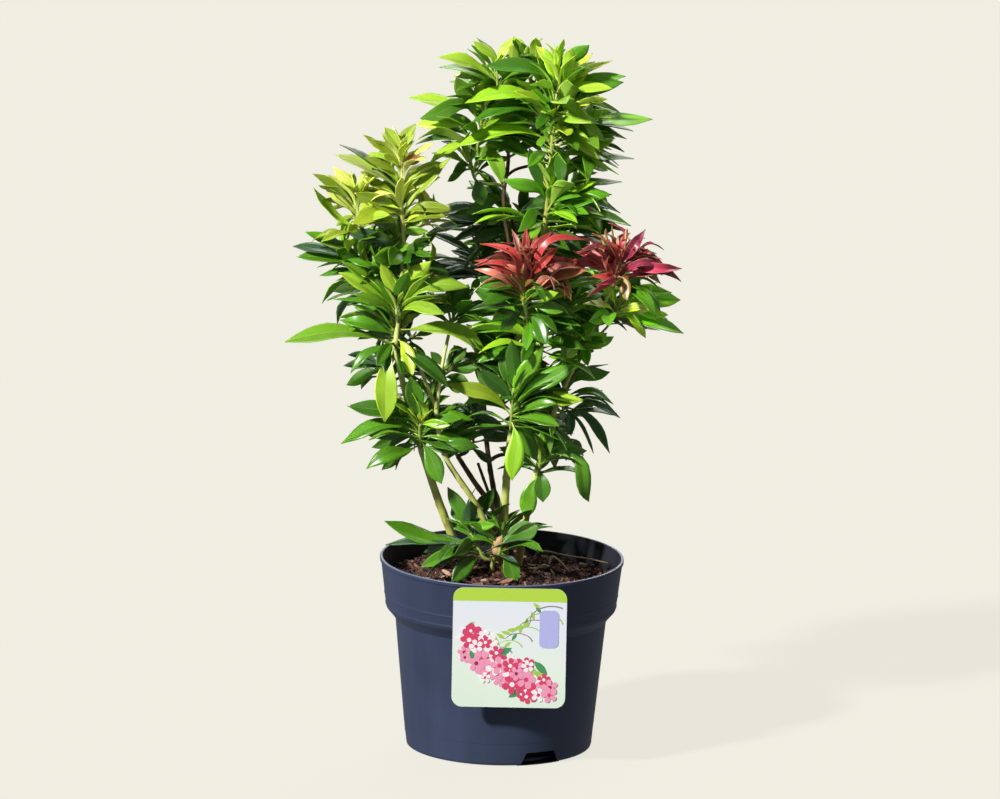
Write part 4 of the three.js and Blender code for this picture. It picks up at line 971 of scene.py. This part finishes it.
def rounded(points, radii, steps=5):
    """A profile with its corners rounded off."""
    out = []
    P = [np.array(p, float) for p in points]
    for i, p in enumerate(P):
        r = radii[i]
        if r == 0 or i in (0, len(P) - 1):
            out.append(p)
            continue
        a, b = P[i - 1] - p, P[i + 1] - p
        la, lb = np.linalg.norm(a), np.linalg.norm(b)
        a, b = a / la, b / lb
        half = math.acos(max(-1, min(1, a @ b))) / 2
        cut = min(r / math.tan(half), la * 0.48, lb * 0.48)
        for k in range(steps + 1):
            t = k / steps
            out.append((1 - t) ** 2 * (p + a * cut) + 2 * t * (1 - t) * p + t * t * (p + b * cut))
    return out


pot_mat, nt, sh = tree_of("pot_plastic")
n_big = noise_node(nt, 9, 3, 0.5)
n_fine = noise_node(nt, 700, 2, 0.5)
n_streak = noise_node(nt, 60, 3, 0.6, (1, 1, 0.12))
mixed = nt.nodes.new("ShaderNodeMath"); mixed.operation = "MULTIPLY_ADD"
nt.links.new(n_streak.outputs["Fac"], mixed.inputs[0]); mixed.inputs[1].default_value = 0.45
nt.links.new(n_big.outputs["Fac"], mixed.inputs[2])
nt.links.new(ramp(nt, mixed.outputs[0], [(0.5, srgb(43, 51, 74)), (0.95, srgb(53, 63, 88))]), sh.inputs["Base Color"])
nt.links.new(spread(nt, mixed.outputs[0], 0.40, 0.5, 0.5, 0.95), sh.inputs["Roughness"])
sh.inputs["Specular IOR Level"].default_value = 0.4
bump(nt, sh, n_fine.outputs["Fac"], 0.06, 0.0002)

POT_SIDES, FOOT_RADIUS = 192, 71.0
outer = rounded(
    [(0, 0), (69.2, 0), (72.0, 0.8), (72.6, 3.2), (73.9, 17.6), (74.05, 18.1), (82.2, 101.6), (85.2, 105.6), (89.4, 110.4),
     (89.9, 112.2), (90.25, 112.8), (90.05, 114.2), (90.9, 120.4), (91.25, 121.0), (91.05, 122.2),
     (94.0, 146.4), (95.0, 147.2), (95.0, 150.0), (92.7, 150.0), (92.3, 146.5), (87.7, 111.4), (83.6, 106.9), (80.9, 105.0), (80.4, 101), (71.0, 5.0), (67.6, 2.4), (0, 2.4)],
    [0, 1.5, 1.5, 1.6, 0.4, 0.4, 1.6, 2.2, 1.6, 0.3, 0.3, 0.3, 0.3, 0.3, 0.3, 0.6, 0.6, 0.75, 0.75, 1, 2, 2, 1.5, 1, 2, 1.2, 0])
# the turned grid is fine where the drain notches are cut, and the long stretches get rings of their own
filled = [outer[0]]
for a, b in zip(outer[:-1], outer[1:]):
    k = max(1, int(np.linalg.norm(b - a) / 9))
    filled += [a + (b - a) * (j + 1) / k for j in range(k)]
pot_pile = lathe_mesh("pot_shell", filled, POT_SIDES, pot_mat)
pot_ob = pot_pile.build()

NOTCH_BEARINGS = [-63, 57, 177]


def notch_cutter(bearing, wide_top, wide_foot, high, grow=0.0):
    """The trapezium cut through the bottom corner, with rounded upper corners."""
    p = rounded([(-wide_foot / 2, -4), (-wide_foot / 2, -0.01), (-wide_top / 2, high), (wide_top / 2, high), (wide_foot / 2, -0.01), (wide_foot / 2, -4)],
                [0, 0, 2.4, 2.4, 0, 0], 5)
    p = np.array(p)
    n = len(p)
    y0, y1 = 58.7, 86.0
    v = np.vstack([np.column_stack([np.full(n, y0), p[:, 0], p[:, 1]]), np.column_stack([np.full(n, y1), p[:, 0], p[:, 1]])]) * MM
    mesh = bpy.data.meshes.new("cutter")
    faces = [tuple(range(n))[::1], tuple(range(2 * n - 1, n - 1, -1))] + [(i, i + n, (i + 1) % n + n, (i + 1) % n) for i in range(n)]
    mesh.from_pydata([tuple(x) for x in v], [], faces)
    mesh.transform(Matrix.Rotation(math.radians(bearing), 4, "Z"))
    mesh.update()
    ob = bpy.data.objects.new("cutter", mesh)
    scene.collection.objects.link(ob)
    return ob


def recalc(ob):
    import bmesh
    bm = bmesh.new()
    bm.from_mesh(ob.data)
    bmesh.ops.recalc_face_normals(bm, faces=bm.faces)
    bm.to_mesh(ob.data)
    bm.free()


recalc(pot_ob)
for b in NOTCH_BEARINGS:
    cut = notch_cutter(b, 24, 33, 10.5)
    recalc(cut)
    m = pot_ob.modifiers.new("notch", "BOOLEAN")
    m.operation, m.object, m.solver = "DIFFERENCE", cut, "EXACT"
    bpy.context.view_layer.update()
    new = bpy.data.meshes.new_from_object(pot_ob.evaluated_get(bpy.context.evaluated_depsgraph_get()))
    pot_ob.modifiers.clear()
    old = pot_ob.data
    pot_ob.data = new
    bpy.data.meshes.remove(old)
    bpy.data.objects.remove(cut)
pot_ob.data.name = "pot_shell"
if not pot_ob.data.materials:
    pot_ob.data.materials.append(pot_mat)
# the inside and the cut faces of the notches are duller and darker: the darker colour is painted shade, for the shade
# under the leaves and inside the notches
inside_shade_mat, nt, sh = tree_of("pot_inside_painted_shade")
sh.inputs["Base Color"].default_value = (*srgb(24, 26, 38), 1)
nt.links.new(spread(nt, noise_node(nt, 80, 3).outputs["Fac"], 0.6, 0.75), sh.inputs["Roughness"])
pot_ob.data.materials.append(inside_shade_mat)
# the top of the rolled lip is painted lighter: a painted highlight along the rim
lip_highlight_mat, nt, sh = tree_of("pot_lip_painted_highlight")
sh.inputs["Base Color"].default_value = (*srgb(98, 106, 130), 1)
nt.links.new(spread(nt, noise_node(nt, 80, 3).outputs["Fac"], 0.34, 0.46), sh.inputs["Roughness"])
pot_ob.data.materials.append(lip_highlight_mat)
# faces that look inwards and the notches' cut faces get the painted-shade colour
for f in pot_ob.data.polygons:
    c, n = f.center, f.normal
    flat = math.hypot(c.x, c.y)
    if flat > 1e-4 and ((n.x * c.x + n.y * c.y) / flat < -0.25 and c.z > 0.003 or c.z < 0.012 and 0.002 < c.z and abs(n.x * c.x + n.y * c.y) / flat < 0.3 and abs(n.z) < 0.95):
        f.material_index = 1
    # faces on top of the lip take the painted highlight
    elif c.z > 0.1494:
        f.material_index = 2
try:
    pot_ob.data.set_sharp_from_angle(angle=math.radians(38))
except Exception as e:
    print("sharp edges", e)
settle(pot_ob, "pot", "pot")
# a dark plate at the foot of each drain notch: painted shade, so the notches show dark down to the ground
drain = Pile("drain_shadow")
dark = drain.mat(bpy.data.materials["pot_inside_painted_shade"])
for b in NOTCH_BEARINGS:
    a = math.radians(b) + np.linspace(-0.262, 0.262, 15)
    ring = [np.column_stack([r * np.cos(a), r * np.sin(a), np.full(15, z)]) for r, z in ((60, 0.1), (FOOT_RADIUS, 0.1), (FOOT_RADIUS, 0.5), (60, 0.5))]
    q = grid_faces(4, 15)
    back = np.stack([np.arange(14) + 45, np.arange(14) + 46, np.arange(14) + 1, np.arange(14)], 1)
    ends = np.array([[0, 15, 30, 45], [59, 44, 29, 14]])
    drain.add(np.vstack(ring), (q, dark, False), (back, dark, False), (ends, dark, False))
drain_ob = drain.build()
recalc(drain_ob)
settle(drain_ob, "pot")

# ------------------------------------------------------------------------------ compost
soil_mat, nt, sh = tree_of("compost")
n1 = noise_node(nt, 420, 6, 0.7)
nt.links.new(ramp(nt, n1.outputs["Fac"], [(0.32, srgb(30, 18, 15)), (0.5, srgb(74, 47, 39)), (0.7, srgb(126, 86, 70))]), sh.inputs["Base Color"])
sh.inputs["Roughness"].default_value = 0.95
bump(nt, sh, n1.outputs["Fac"], 0.9, 0.002)

SIDES, RINGS = 144, 44
th = np.arange(SIDES) * 2 * math.pi / SIDES
rr = 90.4 * (np.linspace(1, 0.02, RINGS)) ** 0.9
X, Y = rr[:, None] * np.cos(th), rr[:, None] * np.sin(th)
q = np.stack([X.ravel(), Y.ravel(), np.zeros(X.size)], 1)
lumps = (noise3(q / 7.0, 1) - 0.5) * 5.2 + (noise3(q / 3.2, 2) - 0.5) * 3.0 + (noise3(q / 1.5, 4) - 0.5) * 1.2
Z = soil_top(X.ravel(), Y.ravel()) - 1.6 + lumps * smooth(91, 84, np.hypot(X.ravel(), Y.ravel()))
top_rows = np.stack([X.ravel(), Y.ravel(), Z], 1)
# the sides and the floor of the root ball, set back behind the drain notches
side_prof = [(60, 3.0), (66.9, 3.0), (70.1, 5.6), (70.6, 11.5), (70.9, 13.5), (78.9, 101), (80.2, 104.6), (83.2, 108.4), (86.6, 112.6), (88.6, 129.5)]
side = []
for r, z in side_prof:
    ring_r = np.full(SIDES, float(r))
    if z < 12:
        for b in NOTCH_BEARINGS:
            d = np.abs(np.angle(np.exp(1j * (th - math.radians(b))))) * 72
            ring_r = np.minimum(ring_r, np.where(d < 19.5, 58.0, 999))
    side.append(np.stack([ring_r * np.cos(th), ring_r * np.sin(th), np.full(SIDES, float(z))], 1))
v = np.vstack([np.vstack(side), top_rows, [[0, 0, 3.0]], [[0, 0, float(soil_top(0, 0)) - 1.6]]])
rows = len(side_prof) + RINGS
pile = Pile("compost_bed")
m = pile.mat(soil_mat)
# the floor ring and the lower sides of the root ball, seen only through the drain notches, are near-black: painted
# shade
root_ball_shade_mat, nt, sh = tree_of("compost_painted_shade")
sh.inputs["Base Color"].default_value = (*srgb(14, 10, 9), 1)
nt.links.new(spread(nt, noise_node(nt, 300, 4).outputs["Fac"], 0.85, 1.0), sh.inputs["Roughness"])
deep = pile.mat(root_ball_shade_mat)
k = np.arange(SIDES)
qf = grid_faces(rows, SIDES, wrap=True)
pile.add(v, (qf, np.where(np.arange(len(qf)) < 5 * SIDES, deep, m), True),
         (np.stack([np.full(SIDES, rows * SIDES), (k + 1) % SIDES, k], 1), np.full(SIDES, m), True),
         (np.stack([np.full(SIDES, rows * SIDES + 1), (rows - 1) * SIDES + k, (rows - 1) * SIDES + (k + 1) % SIDES], 1), np.full(SIDES, m), True))
bed = pile.build()
settle(bed, "soil", "soil")


def bark_colour(name, colour, rough):
    m, nt, sh = tree_of(name)
    sh.inputs["Base Color"].default_value = (*srgb(*colour), 1)
    n = noise_node(nt, 500, 3, 0.6)
    nt.links.new(spread(nt, n.outputs["Fac"], rough - 0.1, rough + 0.1), sh.inputs["Roughness"])
    return m


chip_mats = [bark_colour("chip_%d" % i, c, 0.82) for i, c in enumerate(
    [(46, 29, 26), (72, 44, 38), (98, 62, 53), (126, 84, 70), (152, 108, 90), (190, 154, 132), (92, 70, 64), (28, 19, 18)])]
chip_share = np.array([0.2, 0.22, 0.2, 0.13, 0.07, 0.04, 0.08, 0.06])
chips = Pile("compost_chips")
chip_slots = [chips.mat(m) for m in chip_mats]
rng = rng_of("chips")
cube_v = np.array([[x, y, z] for x in (-1, 0, 1) for (y, z) in ((-1, -1), (1, -1), (1, 1), (-1, 1))], float)
cube_f = np.array([[s * 4 + a, s * 4 + b, (s + 1) * 4 + b, (s + 1) * 4 + a] for s in (0, 1) for a, b in ((0, 1), (1, 2), (2, 3), (3, 0))] + [[3, 2, 1, 0], [8, 9, 10, 11]])
cube_f[:8] = cube_f[:8, ::-1]
cube_f[8:] = cube_f[8:, ::-1]


def soil_height(x, y):
    p = np.array([[x, y, 0.0]])
    l = (noise3(p / 7.0, 1) - 0.5) * 5.2 + (noise3(p / 3.2, 2) - 0.5) * 3.0
    return float(soil_top(x, y) - 1.6 + l[0] * float(smooth(91, 84, math.hypot(x, y))))


N_CHIPS = 3400
for i in range(N_CHIPS):
    r = 89.5 * math.sqrt(rng.random())
    a = rng.random() * 6.2832
    x, y = r * math.cos(a), r * math.sin(a)
    big = rng.random() ** 2.8
    long_, wide, thick = 1.1 + 4.6 * big, 0.5 + 1.9 * big * rng.uniform(0.5, 1), 0.35 + 0.9 * big * rng.uniform(0.4, 1)
    r = min(r, 89.6 - long_ * 0.9)
    x, y = r * math.cos(a), r * math.sin(a)
    v = cube_v * np.array([long_, wide, thick])
    v[:4, 1:] *= rng.uniform(0.35, 0.9)
    v[8:, 1:] *= rng.uniform(0.3, 0.9)
    v[4:8, 2] += rng.normal(0, 0.35) * thick
    v += rng.normal(0, 0.14, v.shape) * np.array([long_ * 0.5, wide, thick])
    yaw, pitch, roll = rng.uniform(0, 6.28), rng.normal(0, 0.38), rng.normal(0, 0.5)
    R = np.array(Matrix.Rotation(yaw, 3, "Z") @ Matrix.Rotation(pitch, 3, "Y") @ Matrix.Rotation(roll, 3, "X"))
    v = v @ R.T + np.array([x, y, soil_height(x, y) + thick * 0.5 + 0.4])
    chips.add(v, (cube_f, np.full(len(cube_f), chip_slots[int(rng.choice(8, p=chip_share))]), False))
# fibres
fibre = chips.mat(bark_colour("fibre", (120, 84, 64), 0.8))
for i in range(260):
    r, a = 86 * math.sqrt(rng.random()), rng.random() * 6.2832
    p = np.array([r * math.cos(a), r * math.sin(a), 0])
    d = rng.uniform(0, 6.28)
    L = rng.uniform(4, 13)
    pts = []
    for k in range(4):
        q = p + np.array([math.cos(d), math.sin(d), 0]) * L * (k / 3 - 0.5) + np.array([rng.normal(0, 0.8), rng.normal(0, 0.8), 0])
        if math.hypot(q[0], q[1]) > 88:
            q[:2] *= 88 / math.hypot(q[0], q[1])
        q[2] = soil_height(q[0], q[1]) + rng.uniform(0.8, 2.2)
        pts.append(q)
    c, _ = through(pts, 7)
    tube(chips, c, np.linspace(0.32, 0.2, 7), 4, fibre)
settle(chips.build(), "soil")

# ------------------------------------------------------------------------------ bits that lie on the compost, round the foot
pale_bit = leaf_material("twig", (206, 204, 150), 0.5)
old_bit = leaf_material("twig", (150, 132, 84), 0.6)
knob = leaf_material("twig", (188, 146, 106), 0.6)
stub = leaf_material("twig", (184, 188, 100), 0.5)


def lying(points, r0, r1, mat):
    pts = [(x, y, soil_height(x, y) + h) for x, y, h in points]
    c, _ = through(pts, 14)
    tube(twig_pile, c, np.linspace(r0, r1, 14), 6, twig_pile.mat(mat))


def propped(points, r0, r1, mat, sides=6, n=14):
    c, _ = through(points, n)
    tube(twig_pile, c, np.linspace(r0, r1, n), sides, twig_pile.mat(mat))


propped([(26, 9, 150), (29, 10, 152.6), (50, 16, 148), (68, 20, 144.5), (83, 22, 141)], 0.75, 0.5, old_bit)
propped([(37, 10, 142), (39, 10, 148.6), (46, 11, 144), (52, 12, 137)], 0.8, 0.6, pale_bit)
lying([(21, 7, 3.0), (27, 12, 4.4), (34, 13, 4.6), (41, 9, 2.6)], 0.9, 0.6, pale_bit)
lying([(33, -30, 2.6), (42, -40, 3.0), (51, -52, 2.2)], 0.7, 0.5, pale_bit)
lying([(17, -62, 2.4), (28, -64, 3.0), (38, -56, 3.2), (40, -48, 2.0)], 0.5, 0.35, pale_bit)
# a cut stub with a pinkish knob on it, at the foot of the stems
c, _ = through([(-7.8, 1, 133), (-7.6, -1, 139), (-6.6, -7, 148), (-4.6, -12.6, 157)], 14)
tube(twig_pile, c, (1.9 + 0.2 * np.sin(np.linspace(0, 9, 14))) * np.linspace(1.1, 0.95, 14), 12, twig_pile.mat(stub))
c, _ = through([(-4.6, -13.6, 155), (-3.8, -14, 160), (-2.0, -14, 166), (0.6, -13, 172)], 12)
lumps = (noise3(np.stack([np.repeat(np.arange(12) * 0.8, 12), np.tile(np.cos(np.arange(12) * 0.5236) * 1.3, 12), np.tile(np.sin(np.arange(12) * 0.5236) * 1.3, 12)], 1), 5).reshape(12, 12) - 0.5) * 2.2
tube(twig_pile, c, np.array([2.2, 3.4, 4.0, 4.1, 3.8, 3.9, 4.1, 3.9, 3.4, 2.9, 2.0, 1.0]), 12, twig_pile.mat(knob), lumps)
settle(twig_pile.build(), "stem_green")


# ------------------------------------------------------------------------------ the card on the pot
CARD_X, CARD_TOP, CARD_W, CARD_H = 7.0, 148.6, 88.0, 95.0
CARD_BACK, CARD_FRONT = -95.35, -96.15
CARD_FOOT = CARD_TOP - CARD_H


def plain_print(name, colour, rough=0.3, coat=0.5):
    m, nt, sh = tree_of(name)
    sh.inputs["Base Color"].default_value = (*srgb(*colour), 1)
    n = noise_node(nt, 60, 2)
    nt.links.new(spread(nt, n.outputs["Fac"], rough - 0.04, rough + 0.06), sh.inputs["Roughness"])
    sh.inputs["Coat Weight"].default_value = coat
    sh.inputs["Coat Roughness"].default_value = 0.12
    return m


card_mat, nt, sh = tree_of("card")
co = nt.nodes.new("ShaderNodeTexCoord")
sep = nt.nodes.new("ShaderNodeSeparateXYZ")
nt.links.new(co.outputs["Object"], sep.inputs["Vector"])
wave = noise_node(nt, 22, 2, 0.4)
add = nt.nodes.new("ShaderNodeMath"); add.operation = "ADD"
nt.links.new(spread(nt, sep.outputs["Z"], 0, 1, CARD_FOOT * MM, CARD_TOP * MM), add.inputs[0])
nt.links.new(spread(nt, wave.outputs["Fac"], -0.12, 0.12), add.inputs[1])
nt.links.new(ramp(nt, add.outputs[0], [(0.0, srgb(216, 232, 214)), (0.35, srgb(224, 234, 222)), (0.65, srgb(226, 230, 236)), (1.0, srgb(222, 229, 239))]), sh.inputs["Base Color"])
sh.inputs["Roughness"].default_value = 0.3
sh.inputs["Coat Weight"].default_value = 0.5
sh.inputs["Coat Roughness"].default_value = 0.12

card = Pile("card")
PRINT = {k: card.mat(m) for k, m in {
    "field": card_mat, "lime": plain_print("print_lime", (178, 212, 70)), "rose": plain_print("print_rose", (212, 66, 106)),
    "pink": plain_print("print_pink", (234, 152, 182)), "white": plain_print("print_white", (240, 232, 234)),
    "lilac": plain_print("print_lilac", (176, 178, 228)), "green": plain_print("print_green", (70, 146, 92)),
    "stalk": plain_print("print_stalk", (146, 130, 134)), "moss": plain_print("print_moss", (164, 200, 86)),
    "wine": plain_print("print_wine", (152, 42, 76)), "edge": plain_print("card_edge", (226, 226, 230)),
}.items()}


def rounded_card(w, h, r, n=8):
    pts = []
    for cx, cz, a0 in ((w / 2 - r, h / 2 - r, 0), (-w / 2 + r, h / 2 - r, 90), (-w / 2 + r, -h / 2 + r, 180), (w / 2 - r, -h / 2 + r, 270)):
        for k in range(n + 1):
            a = math.radians(a0 + 90 * k / n)
            pts.append((cx + r * math.cos(a), cz + r * math.sin(a)))
    return np.array(pts)


def prism(outline, back, front, face, edge=None, centre=None):
    """A thin closed prism: an outline that its centre can see all of, facing -Y."""
    o = np.array(outline, float)
    n = len(o)
    c = o.mean(0) if centre is None else np.array(centre, float)
    v = np.vstack([np.column_stack([o[:, 0], np.full(n, front), o[:, 1]]), np.column_stack([o[:, 0], np.full(n, back), o[:, 1]]),
                   [[c[0], front, c[1]], [c[0], back, c[1]]]])
    k = np.arange(n)
    j = (k + 1) % n
    card.add(v, (np.stack([np.full(n, 2 * n), k, j], 1), np.full(n, face), False),
             (np.stack([np.full(n, 2 * n + 1), n + j, n + k], 1), np.full(n, face if edge is None else edge), False),
             (np.stack([k, n + k, n + j, j], 1), np.full(n, face if edge is None else edge), False))


placed = []              # printed shapes so far: x, z, half size and level


def free_level(pts):
    """The level above every printed shape that this one would lie over."""
    lo, hi = np.min(pts, 0), np.max(pts, 0)
    x, z = (lo + hi) / 2
    a, b = (hi - lo) / 2
    level = 1 + max([l for px, pz, pa, pb, l in placed if abs(px - x) < a + pa and abs(pz - z) < b + pb], default=0)
    placed.append((x, z, a, b, level))
    return level


def strip(line, width, face):
    """A thin printed line of its own width at each point."""
    layer = free_level(line)
    p = np.array(line, float)
    t = np.gradient(p, axis=0)
    t /= np.linalg.norm(t, axis=1)[:, None]
    side = np.column_stack([-t[:, 1], t[:, 0]])
    w = np.broadcast_to(np.asarray(width, float), len(p))[:, None] / 2
    a, b = p + side * w, p - side * w
    n = len(p)
    front, back = CARD_FRONT - 0.02 * layer, CARD_FRONT + 0.05
    v = np.vstack([np.column_stack([q[:, 0], np.full(n, y), q[:, 1]]) for y in (front, back) for q in (a, b)])
    i = np.arange(n - 1)
    A, B, C, D = 0, n, 2 * n, 3 * n
    card.add(v, (np.vstack([np.stack([A + i, B + i, B + i + 1, A + i + 1], 1), np.stack([C + i, C + i + 1, D + i + 1, D + i], 1),
                            np.stack([A + i, A + i + 1, C + i + 1, C + i], 1), np.stack([B + i, D + i, D + i + 1, B + i + 1], 1),
                            [[A, C, D, B], [A + n - 1, B + n - 1, D + n - 1, C + n - 1]]]), np.full(4 * (n - 1) + 2, face), False))


def motif(outline, face, centre=None, layer=None):
    layer = free_level(outline) if layer is None else layer
    prism(outline, CARD_FRONT + 0.05, CARD_FRONT - 0.02 * layer, PRINT[face], centre=centre)


def blob(x, z, a, b, turn, n=18, pinch=0.0):
    th = np.arange(n) * 2 * math.pi / n
    px, pz = a * np.cos(th), b * np.sin(th) * (1 - pinch * np.cos(th))
    c, s = math.cos(turn), math.sin(turn)
    return np.column_stack([x + px * c - pz * s, z + px * s + pz * c])


outline = rounded_card(CARD_W, CARD_H, 8) + [CARD_X, CARD_TOP - CARD_H / 2]
prism(outline, CARD_BACK, CARD_FRONT, PRINT["field"], PRINT["edge"])
# the pad that holds the card to the collar
prism(rounded_card(30, 16, 2, 4) + [CARD_X, 126], -90.2, CARD_BACK - 0.05, PRINT["edge"])
# a lime band along the top edge
band = outline.copy()
band[:, 1] = np.maximum(band[:, 1], CARD_TOP - 10.5)
top_edge = band[(outline[:, 1] > CARD_TOP - 10.5)]
band = np.vstack([top_edge, [[CARD_X - CARD_W / 2, CARD_TOP - 10.5], [CARD_X + CARD_W / 2, CARD_TOP - 10.5]]])
motif(band, "lime", centre=(CARD_X, CARD_TOP - 6))
rng = rng_of("card")


def spray_leaf(x, z, length, turn, face):
    s = np.linspace(0, 1, 9)
    w = 0.19 * length * np.sin(math.pi * s) ** 0.9
    up = np.column_stack([s * length, w])
    down = np.column_stack([s[::-1] * length, -w[::-1]])[1:-1]
    p = np.vstack([up, down])[::-1]
    c, q = math.cos(turn), math.sin(turn)
    p = np.column_stack([x + p[:, 0] * c - p[:, 1] * q, z + p[:, 0] * q + p[:, 1] * c])
    motif(p, face)


def flower(x, z, r, turn, outer, heart):
    level = free_level(blob(x, z, r, r, 0))
    for k in range(5):
        a = turn + k * 2 * math.pi / 5
        motif(blob(x + 0.55 * r * math.cos(a), z + 0.55 * r * math.sin(a), 0.5 * r, 0.31 * r, a, pinch=-0.55), outer, layer=level)
    motif(blob(x, z, 0.26 * r, 0.26 * r, 0), heart)


def inside_card(x, z, edge=5.0):
    return abs(x - CARD_X) < CARD_W / 2 - edge and CARD_FOOT + edge < z < CARD_TOP - 10.5 - edge


# open leaves and thin arcs fill the upper right; flowers gather along a slanting drift at the lower left
for k in range(7):
    x0, z0 = CARD_X - 6 + 6.4 * k, CARD_FOOT + 42 + 4.6 * k
    a = np.linspace(0.2, 2.4 + 0.14 * k, 26)
    r = 10.0 + 1.6 * k
    arc = np.column_stack([x0 + r * np.cos(a) * 0.85, z0 + r * 0.6 * np.sin(a)])
    arc = arc[(np.abs(arc[:, 0] - CARD_X) < CARD_W / 2 - 3) & (arc[:, 1] < CARD_TOP - 13)]
    if len(arc) > 4:
        strip(arc, np.linspace(1.0, 0.4, len(arc)), PRINT["moss" if k % 2 else "stalk"])
        spray_leaf(arc[-1, 0], arc[-1, 1], 8, 2.0 + 0.3 * k, "moss")
        spray_leaf(arc[len(arc) // 2, 0], arc[len(arc) // 2, 1], 7, 0.7 + 0.3 * k, "green" if k % 2 else "moss")
for k in range(22):
    t = (k + 0.5) / 22
    x, z = CARD_X - 36 + 66 * t + rng.normal(0, 3), CARD_FOOT + 56 - 46 * t + rng.normal(0, 6)
    turn = rng.uniform(0, 6.28)
    if inside_card(x + 8 * math.cos(turn), z + 8 * math.sin(turn), 8) and inside_card(x, z, 5):
        spray_leaf(x, z, rng.uniform(12, 17), turn, "green" if k % 3 else "moss")
for k in range(58):
    t = ((k * 0.618) % 1.0) * 0.96 + 0.02
    off = rng.uniform(-17, 13)
    x, z = CARD_X - 37 + 70 * t + off * 0.5, CARD_FOOT + 54 - 46 * t + off * 0.85
    r = rng.uniform(4.6, 7.6) * (1.0 if abs(off) < 10 else 0.75)
    if inside_card(x, z, r + 1):
        outer, heart = [("pink", "rose"), ("rose", "white"), ("white", "rose"), ("pink", "wine")][int(rng.integers(0, 4))]
        flower(x, z, r, rng.uniform(0, 6.28), outer, heart)
bar = rounded_card(15, 30, 4, 5) + [CARD_X + CARD_W / 2 - 13.5, CARD_TOP - 32]
motif(bar, "lilac")
card_ob = card.build()
settle(card_ob, "label", "label")

# ------------------------------------------------------------------------------ floor
floor_mat, nt, sh = tree_of("floor")
FLOOR_TONE, FLOOR_SHARE = srgb(241, 238, 227), 0.09
sh.inputs["Base Color"].default_value = (*(c * FLOOR_SHARE for c in FLOOR_TONE), 1)
sh.inputs["Roughness"].default_value = 1
sh.inputs["Specular IOR Level"].default_value = 0
sh.inputs["Emission Color"].default_value = (*FLOOR_TONE, 1)
sh.inputs["Emission Strength"].default_value = 1 - FLOOR_SHARE * (KEY * 0.54 / math.pi + SKY_LIGHT + 0.2)
mesh = bpy.data.meshes.new("floor")
mesh.from_pydata([(-40, -30, -0.0004), (40, -30, -0.0004), (40, 90, -0.0004), (-40, 90, -0.0004)], [], [(0, 1, 2, 3)])
mesh.materials.append(floor_mat)
floor = bpy.data.objects.new("floor", mesh)
scene.collection.objects.link(floor)
floor.visible_diffuse = floor.visible_glossy = False

# ------------------------------------------------------------------------------ camera
rise, roll = SIGHT_RISE, math.radians(1.1)
look = Vector((0, math.cos(rise), -math.sin(rise)))
flat_right = Vector((1, 0, 0))
flat_up = Vector((0, math.sin(rise), math.cos(rise)))
right = flat_right * math.cos(roll) + flat_up * math.sin(roll)
upward = flat_up * math.cos(roll) - flat_right * math.sin(roll)
camera = bpy.data.objects.new("camera", bpy.data.cameras.new("camera"))
scene.collection.objects.link(camera)
place = Matrix((right, upward, -look)).transposed().to_4x4()
place.translation = Vector((-3.82352232, -11683.5865, 3037.584)) * MM
camera.matrix_world = place
camera.data.sensor_fit = "HORIZONTAL"
camera.data.sensor_width = 36
camera.data.lens = 556.2
camera.data.clip_end = 100
scene.camera = camera

# ------------------------------------------------------------------------------ light
def sun(name, to_light, strength, angle, colour):
    data = bpy.data.lights.new(name, "SUN")
    data.energy, data.angle, data.color = strength, math.radians(angle), colour
    ob = bpy.data.objects.new(name, data)
    ob.rotation_euler = Vector(to_light).to_track_quat("Z", "Y").to_euler()
    scene.collection.objects.link(ob)
    return ob


sun("key", (-0.66, -0.55, 0.55), KEY, 5, (1.0, 0.985, 0.95))
sun("back", (0.12, 0.85, 0.6), 1.1, 40, (1.0, 0.98, 0.94))
world = bpy.data.worlds.new("studio")
world.use_nodes = True
bg = world.node_tree.nodes["Background"]
bg.inputs["Color"].default_value = (0.95, 0.98, 1.0, 1)
bg.inputs["Strength"].default_value = SKY_LIGHT
scene.world = world
scene.view_settings.view_transform = "Standard"
scene.view_settings.look = "None"
scene.view_settings.exposure = 0
scene.view_settings.gamma = 1
